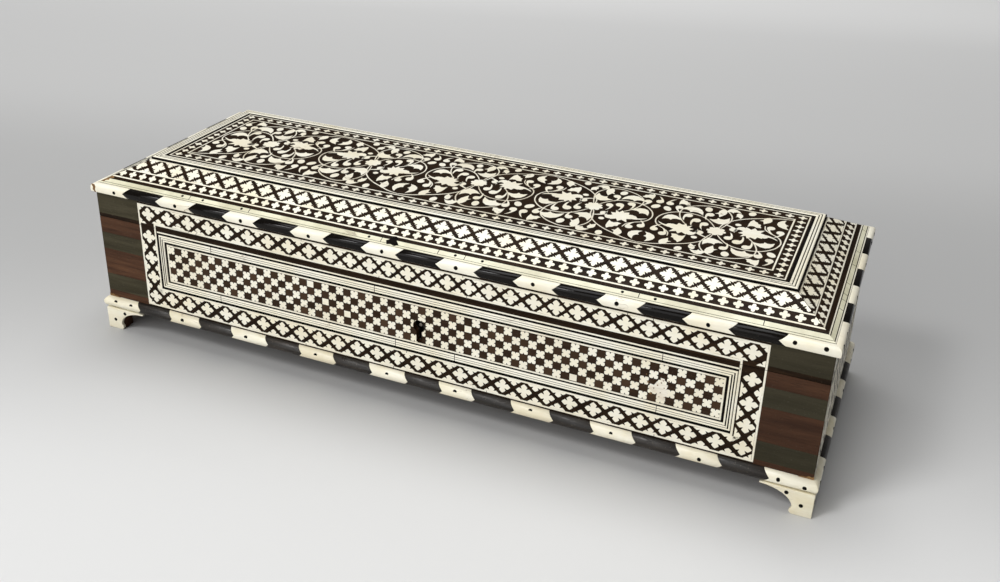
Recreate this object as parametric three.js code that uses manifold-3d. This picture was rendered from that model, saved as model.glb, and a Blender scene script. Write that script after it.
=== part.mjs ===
// A long low rosewood box with ivory and ebony inlay: a carcase of boards faced with veneers,
// a hipped lid on two butt hinges, mitred mouldings round the lid and the base, four bracket
// feet and a box lock with a sliding bolt.
// Millimetres, +Z up, the front of the box faces -Y. The origin is on the table, below the
// middle of the box.

import * as THREE from 'three';
import { mergeVertices } from 'three/addons/utils/BufferGeometryUtils.js';
import Module from 'manifold-3d';

const wasm = await Module();
wasm.setup();

// Carcase
const carcaseLength = 452.5;
const carcaseDepth = 151.5;
const wallThickness = 8;
const cornerLap = 4;
const bottomThickness = 6;
const baseWallHeight = 65.4;
const lidWallHeight = 19.3;
const veneerThickness = 1.25;

// Clearances
const glueLine = 0.05;
const splitGap = 0.3;
const runningGap = 0.3;
const overcut = 1;

// Lid top
const lidEdgeHeight = 1.8;
const slopeWidth = 24.25;
const slopeRise = 11.7;
const panelStep = 1.4;
const lidFrameWidth = 5;
const lidFrameProud = 0.4;

// Mouldings
const baseMouldingHeight = 8;
const baseMouldingProjection = 4.75;
const rimMouldingHeight = 5.9;
const rimMouldingProjection = 3.75;

// Blocks of the mouldings, which meet end to end in arrow joints
const cornerBlock = 27.5;
const blockLength = 23.5;
const ivoryShare = 0.96;
const arrowDepth = 4;
const jointWidth = 0.3;
const jointDepth = 0.4;

// Reeded frame round the chequered panel on the front
const panelFrameWidth = 4.1;
const panelFrameProud = 0.5;
const panelFrameSeat = 0.7;
const panelFrameFromEnd = 44.25;
const panelFrameFromMoulding = 16.5;
const panelFrameFromTop = 4.2;
const reedCount = 3;
const reedDip = 0.35;

// Bracket feet
const footHeight = 15;
const footProjection = 3.75;
const footWing = 29;
const footLeg = 10.8;
const footCuspHeight = 3.8;
const footBead = 1.2;
const footTip = 0.7;
const footFacing = 2.2;
const footBlockDepth = 9;
const footBlockStep = 0.6;

// Butt hinges
const hingeFromEnd = 76.25;
const hingeLength = 30;
const hingeLeafDepth = 7.5;
const hingeLeafThickness = 1.2;
const knuckleRadius = 1.6;
const knuckleShare = 9.7;
const knuckleClearance = 0.15;
const hingePinRadius = 0.8;
const hingePinClearance = 0.1;
const hingePinHead = 0.5;

// Box lock
const lockWidth = 48;
const lockHeight = 37.5;
const lockDepth = 7.6;
const lockMortise = 6.25;
const lockPlate = 1;
const selvedgeEar = 3;
const selvedgeLip = 0.5;
const keyholeDrop = 23.9;
const keyholeRadius = 3.8;
const keyholeSlotWidth = 3.4;
const keyholeSlotDrop = 10.3;
const drillPinRadius = 1.1;
const drillPinReach = 1;

// Sliding bolt and the staples that it locks
const boltThickness = 1.6;
const boltBarDrop = 9.1;
const boltBarHeight = 8.4;
const boltArmWidth = 3;
const boltNoseLength = 3.8;
const boltNoseHeight = 3;
const boltNoseDrop = 3.1;
const boltTravel = 4.5;
const boltTalonRadius = 3;
const stapleSpacing = 24;
const stapleThickness = 1.6;
const stapleLeg = 1;
const stapleEye = 2.4;
const stapleDrop = 8.8;
const stapleFoot = 1.1;
const stapleClearance = 0.4;
const springThickness = 0.4;
const springHeight = 4;
const springLength = 30;

// Levels and faces worked out from the sizes above
const carcaseEnd = carcaseLength / 2;
const carcaseFace = carcaseDepth / 2;
const baseBottom = footHeight;
const baseTop = baseBottom + baseWallHeight;
const lidBottom = baseTop + splitGap;
const splitLevel = (baseTop + lidBottom) / 2;
const lidWallTop = lidBottom + lidWallHeight;
const lidBoardEdge = lidWallTop + glueLine + lidEdgeHeight;
const slopeAngle = Math.atan2(slopeRise, slopeWidth);
const cantLift = veneerThickness / Math.cos(slopeAngle);
const cantTop = lidBoardEdge + slopeRise;
const plateauBoard = cantTop + panelStep;
const plateauTop = plateauBoard + veneerThickness;
const baseMouldingTop = baseBottom + baseMouldingHeight;
const rimMouldingTop = lidBoardEdge + glueLine + cantLift;
const rimMouldingBottom = rimMouldingTop - rimMouldingHeight;
const innerEnd = carcaseEnd - wallThickness;
const innerFace = carcaseFace - wallThickness;

const rosewood = new THREE.MeshStandardMaterial({ color: 0x5e3b2c, roughness: 0.55 });
const ebony = new THREE.MeshStandardMaterial({ color: 0x24221f, roughness: 0.35 });
const ivory = new THREE.MeshStandardMaterial({ color: 0xefe8cc, roughness: 0.4 });
const inlay = new THREE.MeshStandardMaterial({ color: 0x8f8068, roughness: 0.45 });
const brass = new THREE.MeshStandardMaterial({ color: 0xb18d4c, roughness: 0.4, metalness: 1 });
const iron = new THREE.MeshStandardMaterial({ color: 0x55504a, roughness: 0.6, metalness: 1 });

// Solids from outlines. An outline is a list of [a, b] pairs or a THREE.Shape.

function asShape(outline) {
  if (outline instanceof THREE.Shape) return outline;
  return new THREE.Shape(outline.map(([a, b]) => new THREE.Vector2(a, b)));
}

function extrude(outline, length, segments = 8) {
  const options = { depth: length, bevelEnabled: false, curveSegments: segments };
  return new THREE.ExtrudeGeometry(asShape(outline), options);
}

// outline in X and Y, raised from low to high
function upright(outline, low, high, segments) {
  return extrude(outline, high - low, segments).translate(0, 0, low);
}

// outline in X and Z, from front to back along Y
function facing(outline, front, back, segments) {
  const turn = new THREE.Matrix4().set(1, 0, 0, 0, 0, 0, -1, 0, 0, 1, 0, 0, 0, 0, 0, 1);
  return extrude(outline, back - front, segments).applyMatrix4(turn).translate(0, back, 0);
}

// outline in Y and Z, from left to right along X
function crossways(outline, left, right, segments) {
  const turn = new THREE.Matrix4().set(0, 0, 1, 0, 1, 0, 0, 0, 0, 1, 0, 0, 0, 0, 0, 1);
  return extrude(outline, right - left, segments).applyMatrix4(turn).translate(left, 0, 0);
}

function rectangle(a0, a1, b0, b1) {
  return [[a0, b0], [a1, b0], [a1, b1], [a0, b1]];
}

function block(x0, x1, y0, y1, z0, z1) {
  return upright(rectangle(x0, x1, y0, y1), z0, z1);
}

function disc(a, b, radius) {
  const shape = new THREE.Shape();
  shape.absarc(a, b, radius, 0, Math.PI * 2, false);
  return shape;
}

function toSolid(geometry) {
  const bare = geometry.clone();
  for (const name of Object.keys(bare.attributes)) {
    if (name !== 'position') bare.deleteAttribute(name);
  }
  const merged = mergeVertices(bare, 1e-4);
  const vertProperties = new Float32Array(merged.attributes.position.array);
  const triVerts = new Uint32Array(merged.index.array);
  return new wasm.Manifold(new wasm.Mesh({ numProp: 3, vertProperties, triVerts }));
}

function toGeometry(solid) {
  const mesh = solid.getMesh();
  const geometry = new THREE.BufferGeometry();
  geometry.setAttribute('position', new THREE.BufferAttribute(mesh.vertProperties, 3));
  geometry.setIndex(new THREE.BufferAttribute(mesh.triVerts, 1));
  geometry.computeVertexNormals();
  return geometry;
}

function cut(body, ...tools) {
  return toGeometry(tools.reduce((left, tool) => left.subtract(toSolid(tool)), toSolid(body)));
}

function join(first, ...others) {
  return toGeometry(others.reduce((sum, other) => sum.add(toSolid(other)), toSolid(first)));
}

function place(group, name, geometry, material, x = 0, y = 0, z = 0, turn = 0) {
  const mesh = new THREE.Mesh(geometry, material);
  mesh.name = name;
  mesh.position.set(x, y, z);
  mesh.rotation.z = turn;
  group.add(mesh);
  return mesh;
}

// The four sides of the box: the front one is modelled, and each other is the same form on
// its own length, turned about Z.
const sides = [
  { name: 'front', half: carcaseEnd, face: carcaseFace, turn: 0 },
  { name: 'right', half: carcaseFace, face: carcaseEnd, turn: Math.PI / 2 },
  { name: 'back', half: carcaseEnd, face: carcaseFace, turn: Math.PI },
  { name: 'left', half: carcaseFace, face: carcaseEnd, turn: -Math.PI / 2 },
];

// A rail along the front, mitred at both ends. Its section is a list of [out, height] pairs,
// where out is measured outwards from the carcase face.
function mitredRail(section, half, face) {
  const geometry = extrude(section, 1);
  const spots = geometry.attributes.position;
  for (let i = 0; i < spots.count; i += 1) {
    const out = spots.getX(i);
    const height = spots.getY(i);
    const end = spots.getZ(i) < 0.5 ? 1 : -1;
    spots.setXYZ(i, end * (half + out - glueLine), -(face + out), height);
  }
  geometry.computeVertexNormals();
  return geometry;
}

// Carcase boards

// Plan of a long wall at the front, rebated at both ends for the end walls.
function longWallPlan() {
  const lap = carcaseFace - cornerLap;
  return [
    [-carcaseEnd, -carcaseFace], [carcaseEnd, -carcaseFace], [carcaseEnd, -lap],
    [innerEnd, -lap], [innerEnd, -innerFace], [-innerEnd, -innerFace],
    [-innerEnd, -lap], [-carcaseEnd, -lap],
  ];
}

function endWall(low, high) {
  const reach = carcaseFace - cornerLap - glueLine;
  return block(innerEnd + glueLine, carcaseEnd, -reach, reach, low, high);
}

function keyholeOutline() {
  const centre = baseTop - keyholeDrop;
  const half = keyholeSlotWidth / 2;
  const rise = Math.sqrt(keyholeRadius ** 2 - half ** 2);
  const start = Math.atan2(-rise, half);
  const shape = new THREE.Shape();
  shape.moveTo(half, centre - rise);
  shape.absarc(0, centre, keyholeRadius, start, Math.PI - start, false);
  shape.lineTo(-half, centre - keyholeSlotDrop);
  shape.lineTo(half, centre - keyholeSlotDrop);
  shape.closePath();
  return shape;
}

const lockBack = -(innerFace + lockMortise - lockDepth);
const lockFront = lockBack - lockDepth;

function lockMortiseTools() {
  const half = lockWidth / 2 + glueLine;
  const inside = -innerFace + overcut;
  const pocketFront = lockFront - glueLine;
  const floor = baseTop - lockHeight - glueLine;
  const ledge = baseTop - glueLine - lockPlate - glueLine;
  return [
    block(-half, half, pocketFront, inside, floor, baseTop + overcut),
    block(-half - selvedgeEar, half + selvedgeEar, pocketFront - selvedgeLip, inside,
      ledge, baseTop + overcut),
  ];
}

// Recess for one leaf of a hinge, cut in the edge of the back wall and of its veneer.
function hingeRecess(centre, low, high) {
  const half = hingeLength / 2 + glueLine;
  const back = carcaseFace + veneerThickness;
  return block(centre - half, centre + half, back - hingeLeafDepth - glueLine,
    back + overcut, low, high);
}

const hingeFromMiddle = carcaseEnd - hingeFromEnd;
const hingeCentres = { left: -hingeFromMiddle, right: hingeFromMiddle };
const leafPocket = hingeLeafThickness + glueLine * 2;

function baseHingeTools() {
  return Object.values(hingeCentres).map(
    (centre) => hingeRecess(centre, baseTop - leafPocket, baseTop + overcut));
}

function lidHingeTools() {
  return Object.values(hingeCentres).map(
    (centre) => hingeRecess(centre, lidBottom - overcut, lidBottom + leafPocket));
}

function addBaseCarcase(group) {
  const keyhole = facing(keyholeOutline(), -carcaseFace - overcut, -innerFace + overcut, 10);
  const plan = longWallPlan();
  const turned = plan.map(([x, y]) => [-x, -y]);
  const front = cut(upright(plan, baseBottom, baseTop), keyhole, ...lockMortiseTools());
  const back = cut(upright(turned, baseBottom, baseTop), ...baseHingeTools());
  const end = endWall(baseBottom, baseTop);
  place(group, 'base_front_wall', front, rosewood);
  place(group, 'base_back_wall', back, rosewood);
  place(group, 'base_right_wall', end, rosewood);
  place(group, 'base_left_wall', end, rosewood, 0, 0, 0, Math.PI);
  const x = innerEnd - glueLine;
  const y = innerFace - glueLine;
  const board = block(-x, x, -y, y, baseBottom, baseBottom + bottomThickness);
  place(group, 'bottom_board', board, rosewood);
}

// Level bands of the reeded frame on the front
const panelFrameEnd = carcaseEnd - panelFrameFromEnd;
const panelFrameLow = baseMouldingTop + panelFrameFromMoulding;
const panelFrameHigh = baseTop - panelFrameFromTop;

// The front and back veneers run to the ends, and the end veneers fit between them.
function veneerSheet(side, low, high) {
  const long = side.face === carcaseFace;
  const half = long ? side.half + veneerThickness : side.half - glueLine;
  const out = side.face + veneerThickness;
  return block(-half, half, -out, -side.face - glueLine, low, high);
}

function addBaseVeneers(group) {
  const low = baseMouldingTop + glueLine;
  for (const side of sides) {
    let sheet = veneerSheet(side, low, baseTop);
    if (side.name === 'front') {
      const seatBack = -carcaseFace - veneerThickness + panelFrameSeat;
      const outer = facing(
        rectangle(-panelFrameEnd, panelFrameEnd, panelFrameLow, panelFrameHigh),
        -carcaseFace - veneerThickness - overcut, seatBack);
      const inner = facing(
        rectangle(-panelFrameEnd + panelFrameWidth, panelFrameEnd - panelFrameWidth,
          panelFrameLow + panelFrameWidth, panelFrameHigh - panelFrameWidth),
        -carcaseFace - veneerThickness - overcut * 2, seatBack + overcut);
      const keyhole = facing(keyholeOutline(), -carcaseFace - veneerThickness - overcut,
        -carcaseFace + overcut, 10);
      sheet = cut(sheet, cut(outer, inner), keyhole);
    }
    if (side.name === 'back') {
      const tools = baseHingeTools().map((tool) => tool.rotateZ(Math.PI));
      sheet = cut(sheet, ...tools);
    }
    place(group, `base_${side.name}_veneer`, sheet, inlay, 0, 0, 0, side.turn);
  }
}

// Section of a reeded strip: [across, out] pairs with rounded reeds on its outer face.
function reededSection(width, thickness) {
  const points = [[0, 0], [width, 0]];
  const pitch = width / reedCount;
  for (let reed = reedCount - 1; reed >= 0; reed -= 1) {
    const left = pitch * reed;
    points.push([left + pitch, thickness - reedDip]);
    points.push([left + pitch * 0.75, thickness]);
    points.push([left + pitch * 0.25, thickness]);
  }
  points.push([0, thickness - reedDip]);
  return points;
}

// One mitred strip of a picture frame, lying in X and Y with its outer edge on y = 0 and its
// width towards +Y. Its ends are at plus and minus half on the outer edge.
function frameStrip(half, width, thickness) {
  const geometry = extrude(reededSection(width, thickness), 1);
  const spots = geometry.attributes.position;
  for (let i = 0; i < spots.count; i += 1) {
    const across = spots.getX(i);
    const height = spots.getY(i);
    const end = spots.getZ(i) < 0.5 ? -1 : 1;
    spots.setXYZ(i, end * (half - across - glueLine), across + glueLine, height);
  }
  geometry.computeVertexNormals();
  return geometry;
}

function addPanelFrame(group) {
  const thickness = panelFrameSeat + panelFrameProud - glueLine;
  const centre = (panelFrameLow + panelFrameHigh) / 2;
  const halfHigh = (panelFrameHigh - panelFrameLow) / 2;
  const seat = -carcaseFace - veneerThickness + panelFrameSeat - glueLine;
  const strips = [
    ['panel_frame_bottom', panelFrameEnd, 0, -halfHigh, 0],
    ['panel_frame_right', halfHigh, panelFrameEnd, 0, Math.PI / 2],
    ['panel_frame_top', panelFrameEnd, 0, halfHigh, Math.PI],
    ['panel_frame_left', halfHigh, -panelFrameEnd, 0, -Math.PI / 2],
  ];
  const width = panelFrameWidth - glueLine * 2;
  for (const [name, half, x, z, turn] of strips) {
    const strip = frameStrip(half, width, thickness);
    const holder = new THREE.Group();
    holder.position.set(0, seat, centre);
    holder.rotation.x = Math.PI / 2;
    group.add(holder);
    place(holder, name, strip, ivory, x, z, 0, turn);
  }
}

// Mouldings

function baseMouldingSection() {
  const points = [];
  const steps = 8;
  const middle = baseBottom + baseMouldingHeight / 2;
  for (let i = 0; i <= steps; i += 1) {
    const angle = -Math.PI / 2 + (Math.PI * i) / steps;
    const out = glueLine + (baseMouldingProjection - glueLine) * Math.cos(angle);
    points.push([out, middle + (baseMouldingHeight / 2) * Math.sin(angle)]);
  }
  return points;
}

// The rim moulding has an upright face and a shoulder that rounds in to the lid.
function rimMouldingSection() {
  const shares = [
    [0.78, 0], [0.96, 0.09], [1, 0.25], [1, 0.58], [0.88, 0.78], [0.61, 0.91], [0.32, 0.96],
  ];
  const outer = shares.map(([out, up]) => [
    rimMouldingProjection * out, rimMouldingBottom + rimMouldingHeight * up]);
  return [[glueLine, rimMouldingBottom], ...outer, [glueLine, rimMouldingTop]];
}

// Places along a rail where its blocks meet: a corner block at each end, and between them
// ebony and ivory in turn, with ebony first and last.
function jointPlaces(reach) {
  const span = (reach - cornerBlock) * 2;
  const pairs = Math.round((span / blockLength - 1) / 2);
  const ivoryLength = (span / (pairs * 2 + 1)) * ivoryShare;
  const ebonyLength = (span - ivoryLength * pairs) / (pairs + 1);
  const places = [-span / 2];
  for (let pair = 0; pair < pairs; pair += 1) {
    places.push(places.at(-1) + ebonyLength);
    places.push(places.at(-1) + ivoryLength);
  }
  places.push(span / 2);
  return places;
}

// A scored joint across the front rail: an arrow with its point at half height.
function arrowScore(place, way, low, high, front, back) {
  const half = jointWidth / 2;
  const edge = place - (way * arrowDepth) / 2;
  const point = place + (way * arrowDepth) / 2;
  const middle = (low + high) / 2;
  const outline = [
    [edge - half, low - overcut], [edge + half, low - overcut], [edge + half, low],
    [point + half, middle], [edge + half, high], [edge + half, high + overcut],
    [edge - half, high + overcut], [edge - half, high], [point - half, middle],
    [edge - half, low],
  ];
  return facing(outline, front, back);
}

function scoredRail(rail, side, way, low, high, projection) {
  const solid = toSolid(rail);
  const core = solid.translate([0, jointDepth, 0]);
  const front = -(side.face + projection) - overcut;
  const scores = jointPlaces(side.half + projection).map((place) =>
    toSolid(arrowScore(place, way, low, high, front, -side.face)).subtract(core));
  return toGeometry(scores.reduce((left, score) => left.subtract(score), solid));
}

function addBaseMouldings(group) {
  const ways = { front: 1, back: 1, right: 1, left: -1 };
  for (const side of sides) {
    const rail = mitredRail(baseMouldingSection(), side.half, side.face);
    const scored = scoredRail(rail, side, ways[side.name], baseBottom, baseMouldingTop,
      baseMouldingProjection);
    place(group, `base_moulding_${side.name}`, scored, ebony, 0, 0, 0, side.turn);
  }
}

function addRimMouldings(group) {
  const ways = { front: -1, back: -1, right: 1, left: -1 };
  for (const side of sides) {
    const rail = mitredRail(rimMouldingSection(), side.half, side.face);
    const scored = scoredRail(rail, side, ways[side.name], rimMouldingBottom, rimMouldingTop,
      rimMouldingProjection);
    place(group, `rim_moulding_${side.name}`, scored, ebony, 0, 0, 0, side.turn);
  }
}

// Bracket feet: an ivory facing round the corner and a wood block behind it. The corner of
// the foot is at the origin, with its wings along +X and +Y.

function footOutline(leg, wing, tip, bead) {
  const top = footHeight - glueLine;
  const shape = new THREE.Shape();
  shape.moveTo(0, 0);
  shape.lineTo(leg, 0);
  if (bead > 0) {
    shape.quadraticCurveTo(leg + bead * 2, footCuspHeight / 2, leg, footCuspHeight);
  } else {
    shape.lineTo(leg, footCuspHeight);
  }
  const rise = top - tip - footCuspHeight;
  const reach = wing - leg;
  shape.absellipse(wing, footCuspHeight, reach, rise, Math.PI, Math.PI / 2, true);
  shape.lineTo(wing, top);
  shape.lineTo(0, top);
  shape.closePath();
  return shape;
}

function footPair(outline, start, depth) {
  const along = facing(outline, start, start + depth, 7);
  const back = crossways(outline, start, start + depth, 7);
  return [along, back];
}

function addFeet(group) {
  const corner = footFacing + glueLine;
  const facingPieces = footPair(footOutline(footLeg, footWing, footTip, footBead), 0, footFacing);
  const facingSolid = join(...facingPieces);
  const blockOutline = footOutline(
    footLeg - footBlockStep, footWing - footBlockStep * 3, footTip + footBlockStep, 0);
  const clear = block(-overcut, footWing, -overcut, corner, -overcut, footHeight);
  const clearSide = block(-overcut, corner, -overcut, footWing, -overcut, footHeight);
  const pieces = footPair(blockOutline, corner, footBlockDepth);
  const blockSolid = cut(join(...pieces), clear, clearSide);
  const x = carcaseEnd + footProjection;
  const y = carcaseFace + footProjection;
  const corners = [
    ['front_left', -x, -y, 0],
    ['front_right', x, -y, Math.PI / 2],
    ['back_right', x, y, Math.PI],
    ['back_left', -x, y, -Math.PI / 2],
  ];
  for (const [name, cornerX, cornerY, turn] of corners) {
    place(group, `foot_${name}_facing`, facingSolid, ivory, cornerX, cornerY, 0, turn);
    place(group, `foot_${name}_block`, blockSolid, rosewood, cornerX, cornerY, 0, turn);
  }
}

// Hinges

const hingeAxisY = carcaseFace + veneerThickness + knuckleRadius + knuckleClearance;

function knuckle(left, right) {
  return crossways(disc(hingeAxisY, splitLevel, knuckleRadius), left, right, 8);
}

function hingeBore(centre) {
  const reach = hingeLength / 2 + overcut;
  const bore = disc(hingeAxisY, splitLevel, hingePinRadius + hingePinClearance);
  return crossways(bore, centre - reach, centre + reach, 6);
}

// A leaf let into a wall edge, with tabs that run back into its knuckles.
function hingeLeaf(centre, low, high, spans) {
  const back = carcaseFace + veneerThickness;
  const half = hingeLength / 2;
  const plate = block(centre - half, centre + half, back - hingeLeafDepth, back, low, high);
  const tabs = [];
  for (const [left, right] of spans) {
    tabs.push(block(centre + left, centre + right, back - overcut, hingeAxisY, low, high));
    tabs.push(knuckle(centre + left, centre + right));
  }
  return cut(join(plate, ...tabs), hingeBore(centre));
}

function addHinges(base, lid) {
  const half = hingeLength / 2;
  const middle = knuckleShare / 2;
  const outer = middle + runningGap;
  for (const [name, centre] of Object.entries(hingeCentres)) {
    const baseHigh = baseTop - glueLine;
    const baseLeaf = hingeLeaf(centre, baseHigh - hingeLeafThickness, baseHigh,
      [[-half, -outer], [outer, half]]);
    const lidLow = lidBottom + glueLine;
    const lidLeaf = hingeLeaf(centre, lidLow, lidLow + hingeLeafThickness, [[-middle, middle]]);
    place(base, `hinge_${name}_base_leaf`, baseLeaf, brass);
    place(lid, `hinge_${name}_lid_leaf`, lidLeaf, brass);
    const start = half + glueLine;
    const end = start + hingePinHead;
    const shank = crossways(disc(hingeAxisY, splitLevel, hingePinRadius),
      centre - end, centre + end, 6);
    const headRadius = hingePinRadius + hingePinHead;
    const heads = [-1, 1].map((way) => {
      const ends = [centre + way * start, centre + way * end].sort((a, b) => a - b);
      return crossways(disc(hingeAxisY, splitLevel, headRadius), ends[0], ends[1], 6);
    });
    place(base, `hinge_${name}_pin`, join(shank, ...heads), brass);
  }
}

// Lock: an open-fronted case with a top plate, a cover with the keyhole, a drill pin and
// two ledges that carry the bolt.

const lockTop = baseTop - glueLine;
const lockUnderPlate = lockTop - lockPlate;
const lockFloor = baseTop - lockHeight;
const stapleMiddle = (lockFront + lockPlate + lockBack - lockPlate) / 2;
const stapleHalf = stapleEye / 2 + stapleLeg;
const boltBarTop = baseTop - boltBarDrop;
const boltBarLow = boltBarTop - boltBarHeight;
const staplePlaces = [-stapleSpacing / 2, stapleSpacing / 2];

function addLockCase(group) {
  const half = lockWidth / 2;
  const inner = half - lockPlate;
  const shell = block(-half, half, lockFront + lockPlate, lockBack, lockFloor, lockTop);
  const selvedge = block(-half - selvedgeEar, half + selvedgeEar, lockFront - selvedgeLip,
    lockBack, lockUnderPlate, lockTop);
  const hollow = block(-inner, inner, lockFront - selvedgeLip - overcut, lockBack - lockPlate,
    lockFloor + lockPlate, lockUnderPlate);
  const slots = staplePlaces.map((x) => {
    const slotHalf = stapleThickness / 2 + stapleClearance;
    const depth = stapleHalf + stapleClearance;
    return block(x - slotHalf, x + slotHalf, stapleMiddle - depth, stapleMiddle + depth,
      lockUnderPlate - overcut, lockTop + overcut);
  });
  const ledgeTop = boltBarLow - runningGap;
  const ledges = [-1, 1].map((way) => {
    const ends = [way * boltTalonRadius * 2, way * (inner + lockPlate / 2)];
    ends.sort((a, b) => a - b);
    return block(ends[0], ends[1], stapleMiddle - boltThickness / 2, lockBack - lockPlate / 2,
      ledgeTop - lockPlate, ledgeTop);
  });
  const pinCentre = baseTop - keyholeDrop;
  const drillPin = facing(disc(0, pinCentre, drillPinRadius), lockFront - drillPinReach,
    lockBack - lockPlate / 2, 6);
  const shape = cut(join(shell, selvedge), hollow, ...slots);
  place(group, 'lock_case', join(shape, ...ledges, drillPin), iron);
}

function addLockCover(group) {
  const half = lockWidth / 2;
  const plate = block(-half, half, lockFront, lockFront + lockPlate - glueLine, lockFloor,
    lockUnderPlate - glueLine);
  const keyhole = facing(keyholeOutline(), lockFront - overcut, lockFront + lockPlate + overcut, 10);
  place(group, 'lock_cover', cut(plate, keyhole), iron);
}

function addLockSpring(group) {
  const half = springLength / 2;
  const wall = lockBack - lockPlate - glueLine;
  const near = stapleMiddle + boltThickness / 2 + runningGap;
  const bow = wall - springThickness - near;
  const steps = 8;
  const outer = [];
  const inner = [];
  for (let i = 0; i <= steps; i += 1) {
    const share = (i / steps) * 2 - 1;
    const sag = bow * (1 - share * share);
    outer.push([half * share, wall - sag]);
    inner.unshift([half * share, wall - springThickness - sag]);
  }
  const low = boltBarLow + (boltBarHeight - springHeight) / 2;
  place(group, 'lock_spring', upright([...outer, ...inner], low, low + springHeight), iron);
}

// The bolt is a bar with two arms whose noses slide through the staples on the lid.
function addBolt(group) {
  const noseLow = baseTop - boltNoseDrop - boltNoseHeight;
  const noseHigh = baseTop - boltNoseDrop;
  const clear = stapleThickness / 2 + runningGap;
  const pieces = [];
  let left = 0;
  let right = 0;
  for (const x of staplePlaces) {
    const armRight = x - clear - boltTravel;
    const armLeft = armRight - boltArmWidth;
    pieces.push(rectangle(armLeft, armRight, boltBarTop - overcut, noseHigh));
    pieces.push(rectangle(armRight - overcut, armRight + boltNoseLength, noseLow, noseHigh));
    left = Math.min(left, armLeft);
    right = Math.max(right, armRight);
  }
  pieces.push(rectangle(left, right, boltBarLow, boltBarTop));
  const front = stapleMiddle - boltThickness / 2;
  const back = stapleMiddle + boltThickness / 2;
  const solids = pieces.map((outline) => facing(outline, front, back));
  const talon = facing(disc(0, boltBarLow, boltTalonRadius), front - overcut, back + overcut, 6);
  place(group, 'lock_bolt', cut(join(...solids), talon), iron);
}

// The plate let into the lid's edge, with two staples that drop into the lock.
function addLinkPlate(group) {
  const low = lidBottom + glueLine;
  const half = lockWidth / 2 + selvedgeEar;
  const middle = stapleMiddle;
  const plate = block(-half, half, lockFront - selvedgeLip, -innerFace - glueLine,
    low, low + lockPlate);
  const staples = staplePlaces.map((x) => {
    const thick = stapleThickness / 2;
    const bottom = lidBottom - stapleDrop;
    const ring = block(x - thick, x + thick, middle - stapleHalf, middle + stapleHalf,
      bottom, low + lockPlate / 2);
    const eye = block(x - thick - overcut, x + thick + overcut, middle - stapleEye / 2,
      middle + stapleEye / 2, bottom + stapleFoot, low);
    return cut(ring, eye);
  });
  place(group, 'lock_link_plate', join(plate, ...staples), iron);
}

// Lid

function addLidCarcase(group) {
  const plan = longWallPlan();
  const turned = plan.map(([x, y]) => [-x, -y]);
  const half = lockWidth / 2 + selvedgeEar + glueLine;
  const pocket = block(-half, half, lockFront - selvedgeLip - glueLine, -innerFace + overcut,
    lidBottom - overcut, lidBottom + lockPlate + glueLine * 2);
  const front = cut(upright(plan, lidBottom, lidWallTop), pocket);
  const back = cut(upright(turned, lidBottom, lidWallTop), ...lidHingeTools());
  const end = endWall(lidBottom, lidWallTop);
  place(group, 'lid_front_wall', front, rosewood);
  place(group, 'lid_back_wall', back, rosewood);
  place(group, 'lid_right_wall', end, rosewood);
  place(group, 'lid_left_wall', end, rosewood, 0, 0, 0, Math.PI);
}

// Plan rectangle of the lid at a distance in from the carcase faces.
function ring(inset) {
  return { x: carcaseEnd - inset, y: carcaseFace - inset };
}

// A board with a square edge, four canted sides and a level panel raised a step above them.
function addTopBoard(group) {
  const levels = [
    [0, lidWallTop + glueLine], [0, lidBoardEdge], [slopeWidth, cantTop],
    [slopeWidth, plateauBoard],
  ];
  const positions = [];
  for (const [inset, z] of levels) {
    const { x, y } = ring(inset);
    positions.push(-x, -y, z, x, -y, z, x, y, z, -x, y, z);
  }
  const index = [0, 2, 1, 0, 3, 2];
  for (let level = 0; level < levels.length - 1; level += 1) {
    for (let side = 0; side < 4; side += 1) {
      const a = level * 4 + side;
      const b = level * 4 + ((side + 1) % 4);
      index.push(a, b, b + 4, a, b + 4, a + 4);
    }
  }
  const top = (levels.length - 1) * 4;
  index.push(top, top + 1, top + 2, top, top + 2, top + 3);
  const geometry = new THREE.BufferGeometry();
  geometry.setAttribute('position', new THREE.Float32BufferAttribute(positions, 3));
  geometry.setIndex(index);
  geometry.computeVertexNormals();
  place(group, 'lid_top_board', geometry, rosewood);
}

// Section of the veneer that covers the cant, as [out, height] pairs.
function cantSection() {
  const end = slopeWidth - glueLine;
  const under = lidBoardEdge + glueLine;
  const underEnd = under + end * Math.tan(slopeAngle);
  return [[0, under], [0, under + cantLift], [-end, underEnd + cantLift], [-end, underEnd]];
}

function addLidVeneers(group) {
  for (const side of sides) {
    let sheet = veneerSheet(side, lidBottom, rimMouldingBottom - glueLine);
    if (side.name === 'back') {
      sheet = cut(sheet, ...lidHingeTools().map((tool) => tool.rotateZ(Math.PI)));
    }
    place(group, `lid_${side.name}_veneer`, sheet, inlay, 0, 0, 0, side.turn);
    const cant = mitredRail(cantSection(), side.half, side.face);
    place(group, `lid_${side.name}_cant`, cant, inlay, 0, 0, 0, side.turn);
  }
  const { x, y } = ring(slopeWidth + lidFrameWidth + glueLine);
  const field = block(-x, x, -y, y, plateauBoard + glueLine, plateauTop);
  place(group, 'lid_field', field, inlay);
}

function addLidFrame(group) {
  const outer = ring(slopeWidth);
  const thickness = veneerThickness + lidFrameProud - glueLine;
  const level = plateauBoard + glueLine;
  const width = lidFrameWidth - glueLine * 2;
  const strips = [
    ['lid_frame_front', outer.x, 0, -outer.y, 0],
    ['lid_frame_right', outer.y, outer.x, 0, Math.PI / 2],
    ['lid_frame_back', outer.x, 0, outer.y, Math.PI],
    ['lid_frame_left', outer.y, -outer.x, 0, -Math.PI / 2],
  ];
  for (const [name, half, x, y, turn] of strips) {
    place(group, name, frameStrip(half, width, thickness), ivory, x, y, level, turn);
  }
}

const box = new THREE.Group();
const base = new THREE.Group();
const lid = new THREE.Group();
const bolt = new THREE.Group();
box.add(base, lid, bolt);

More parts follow.
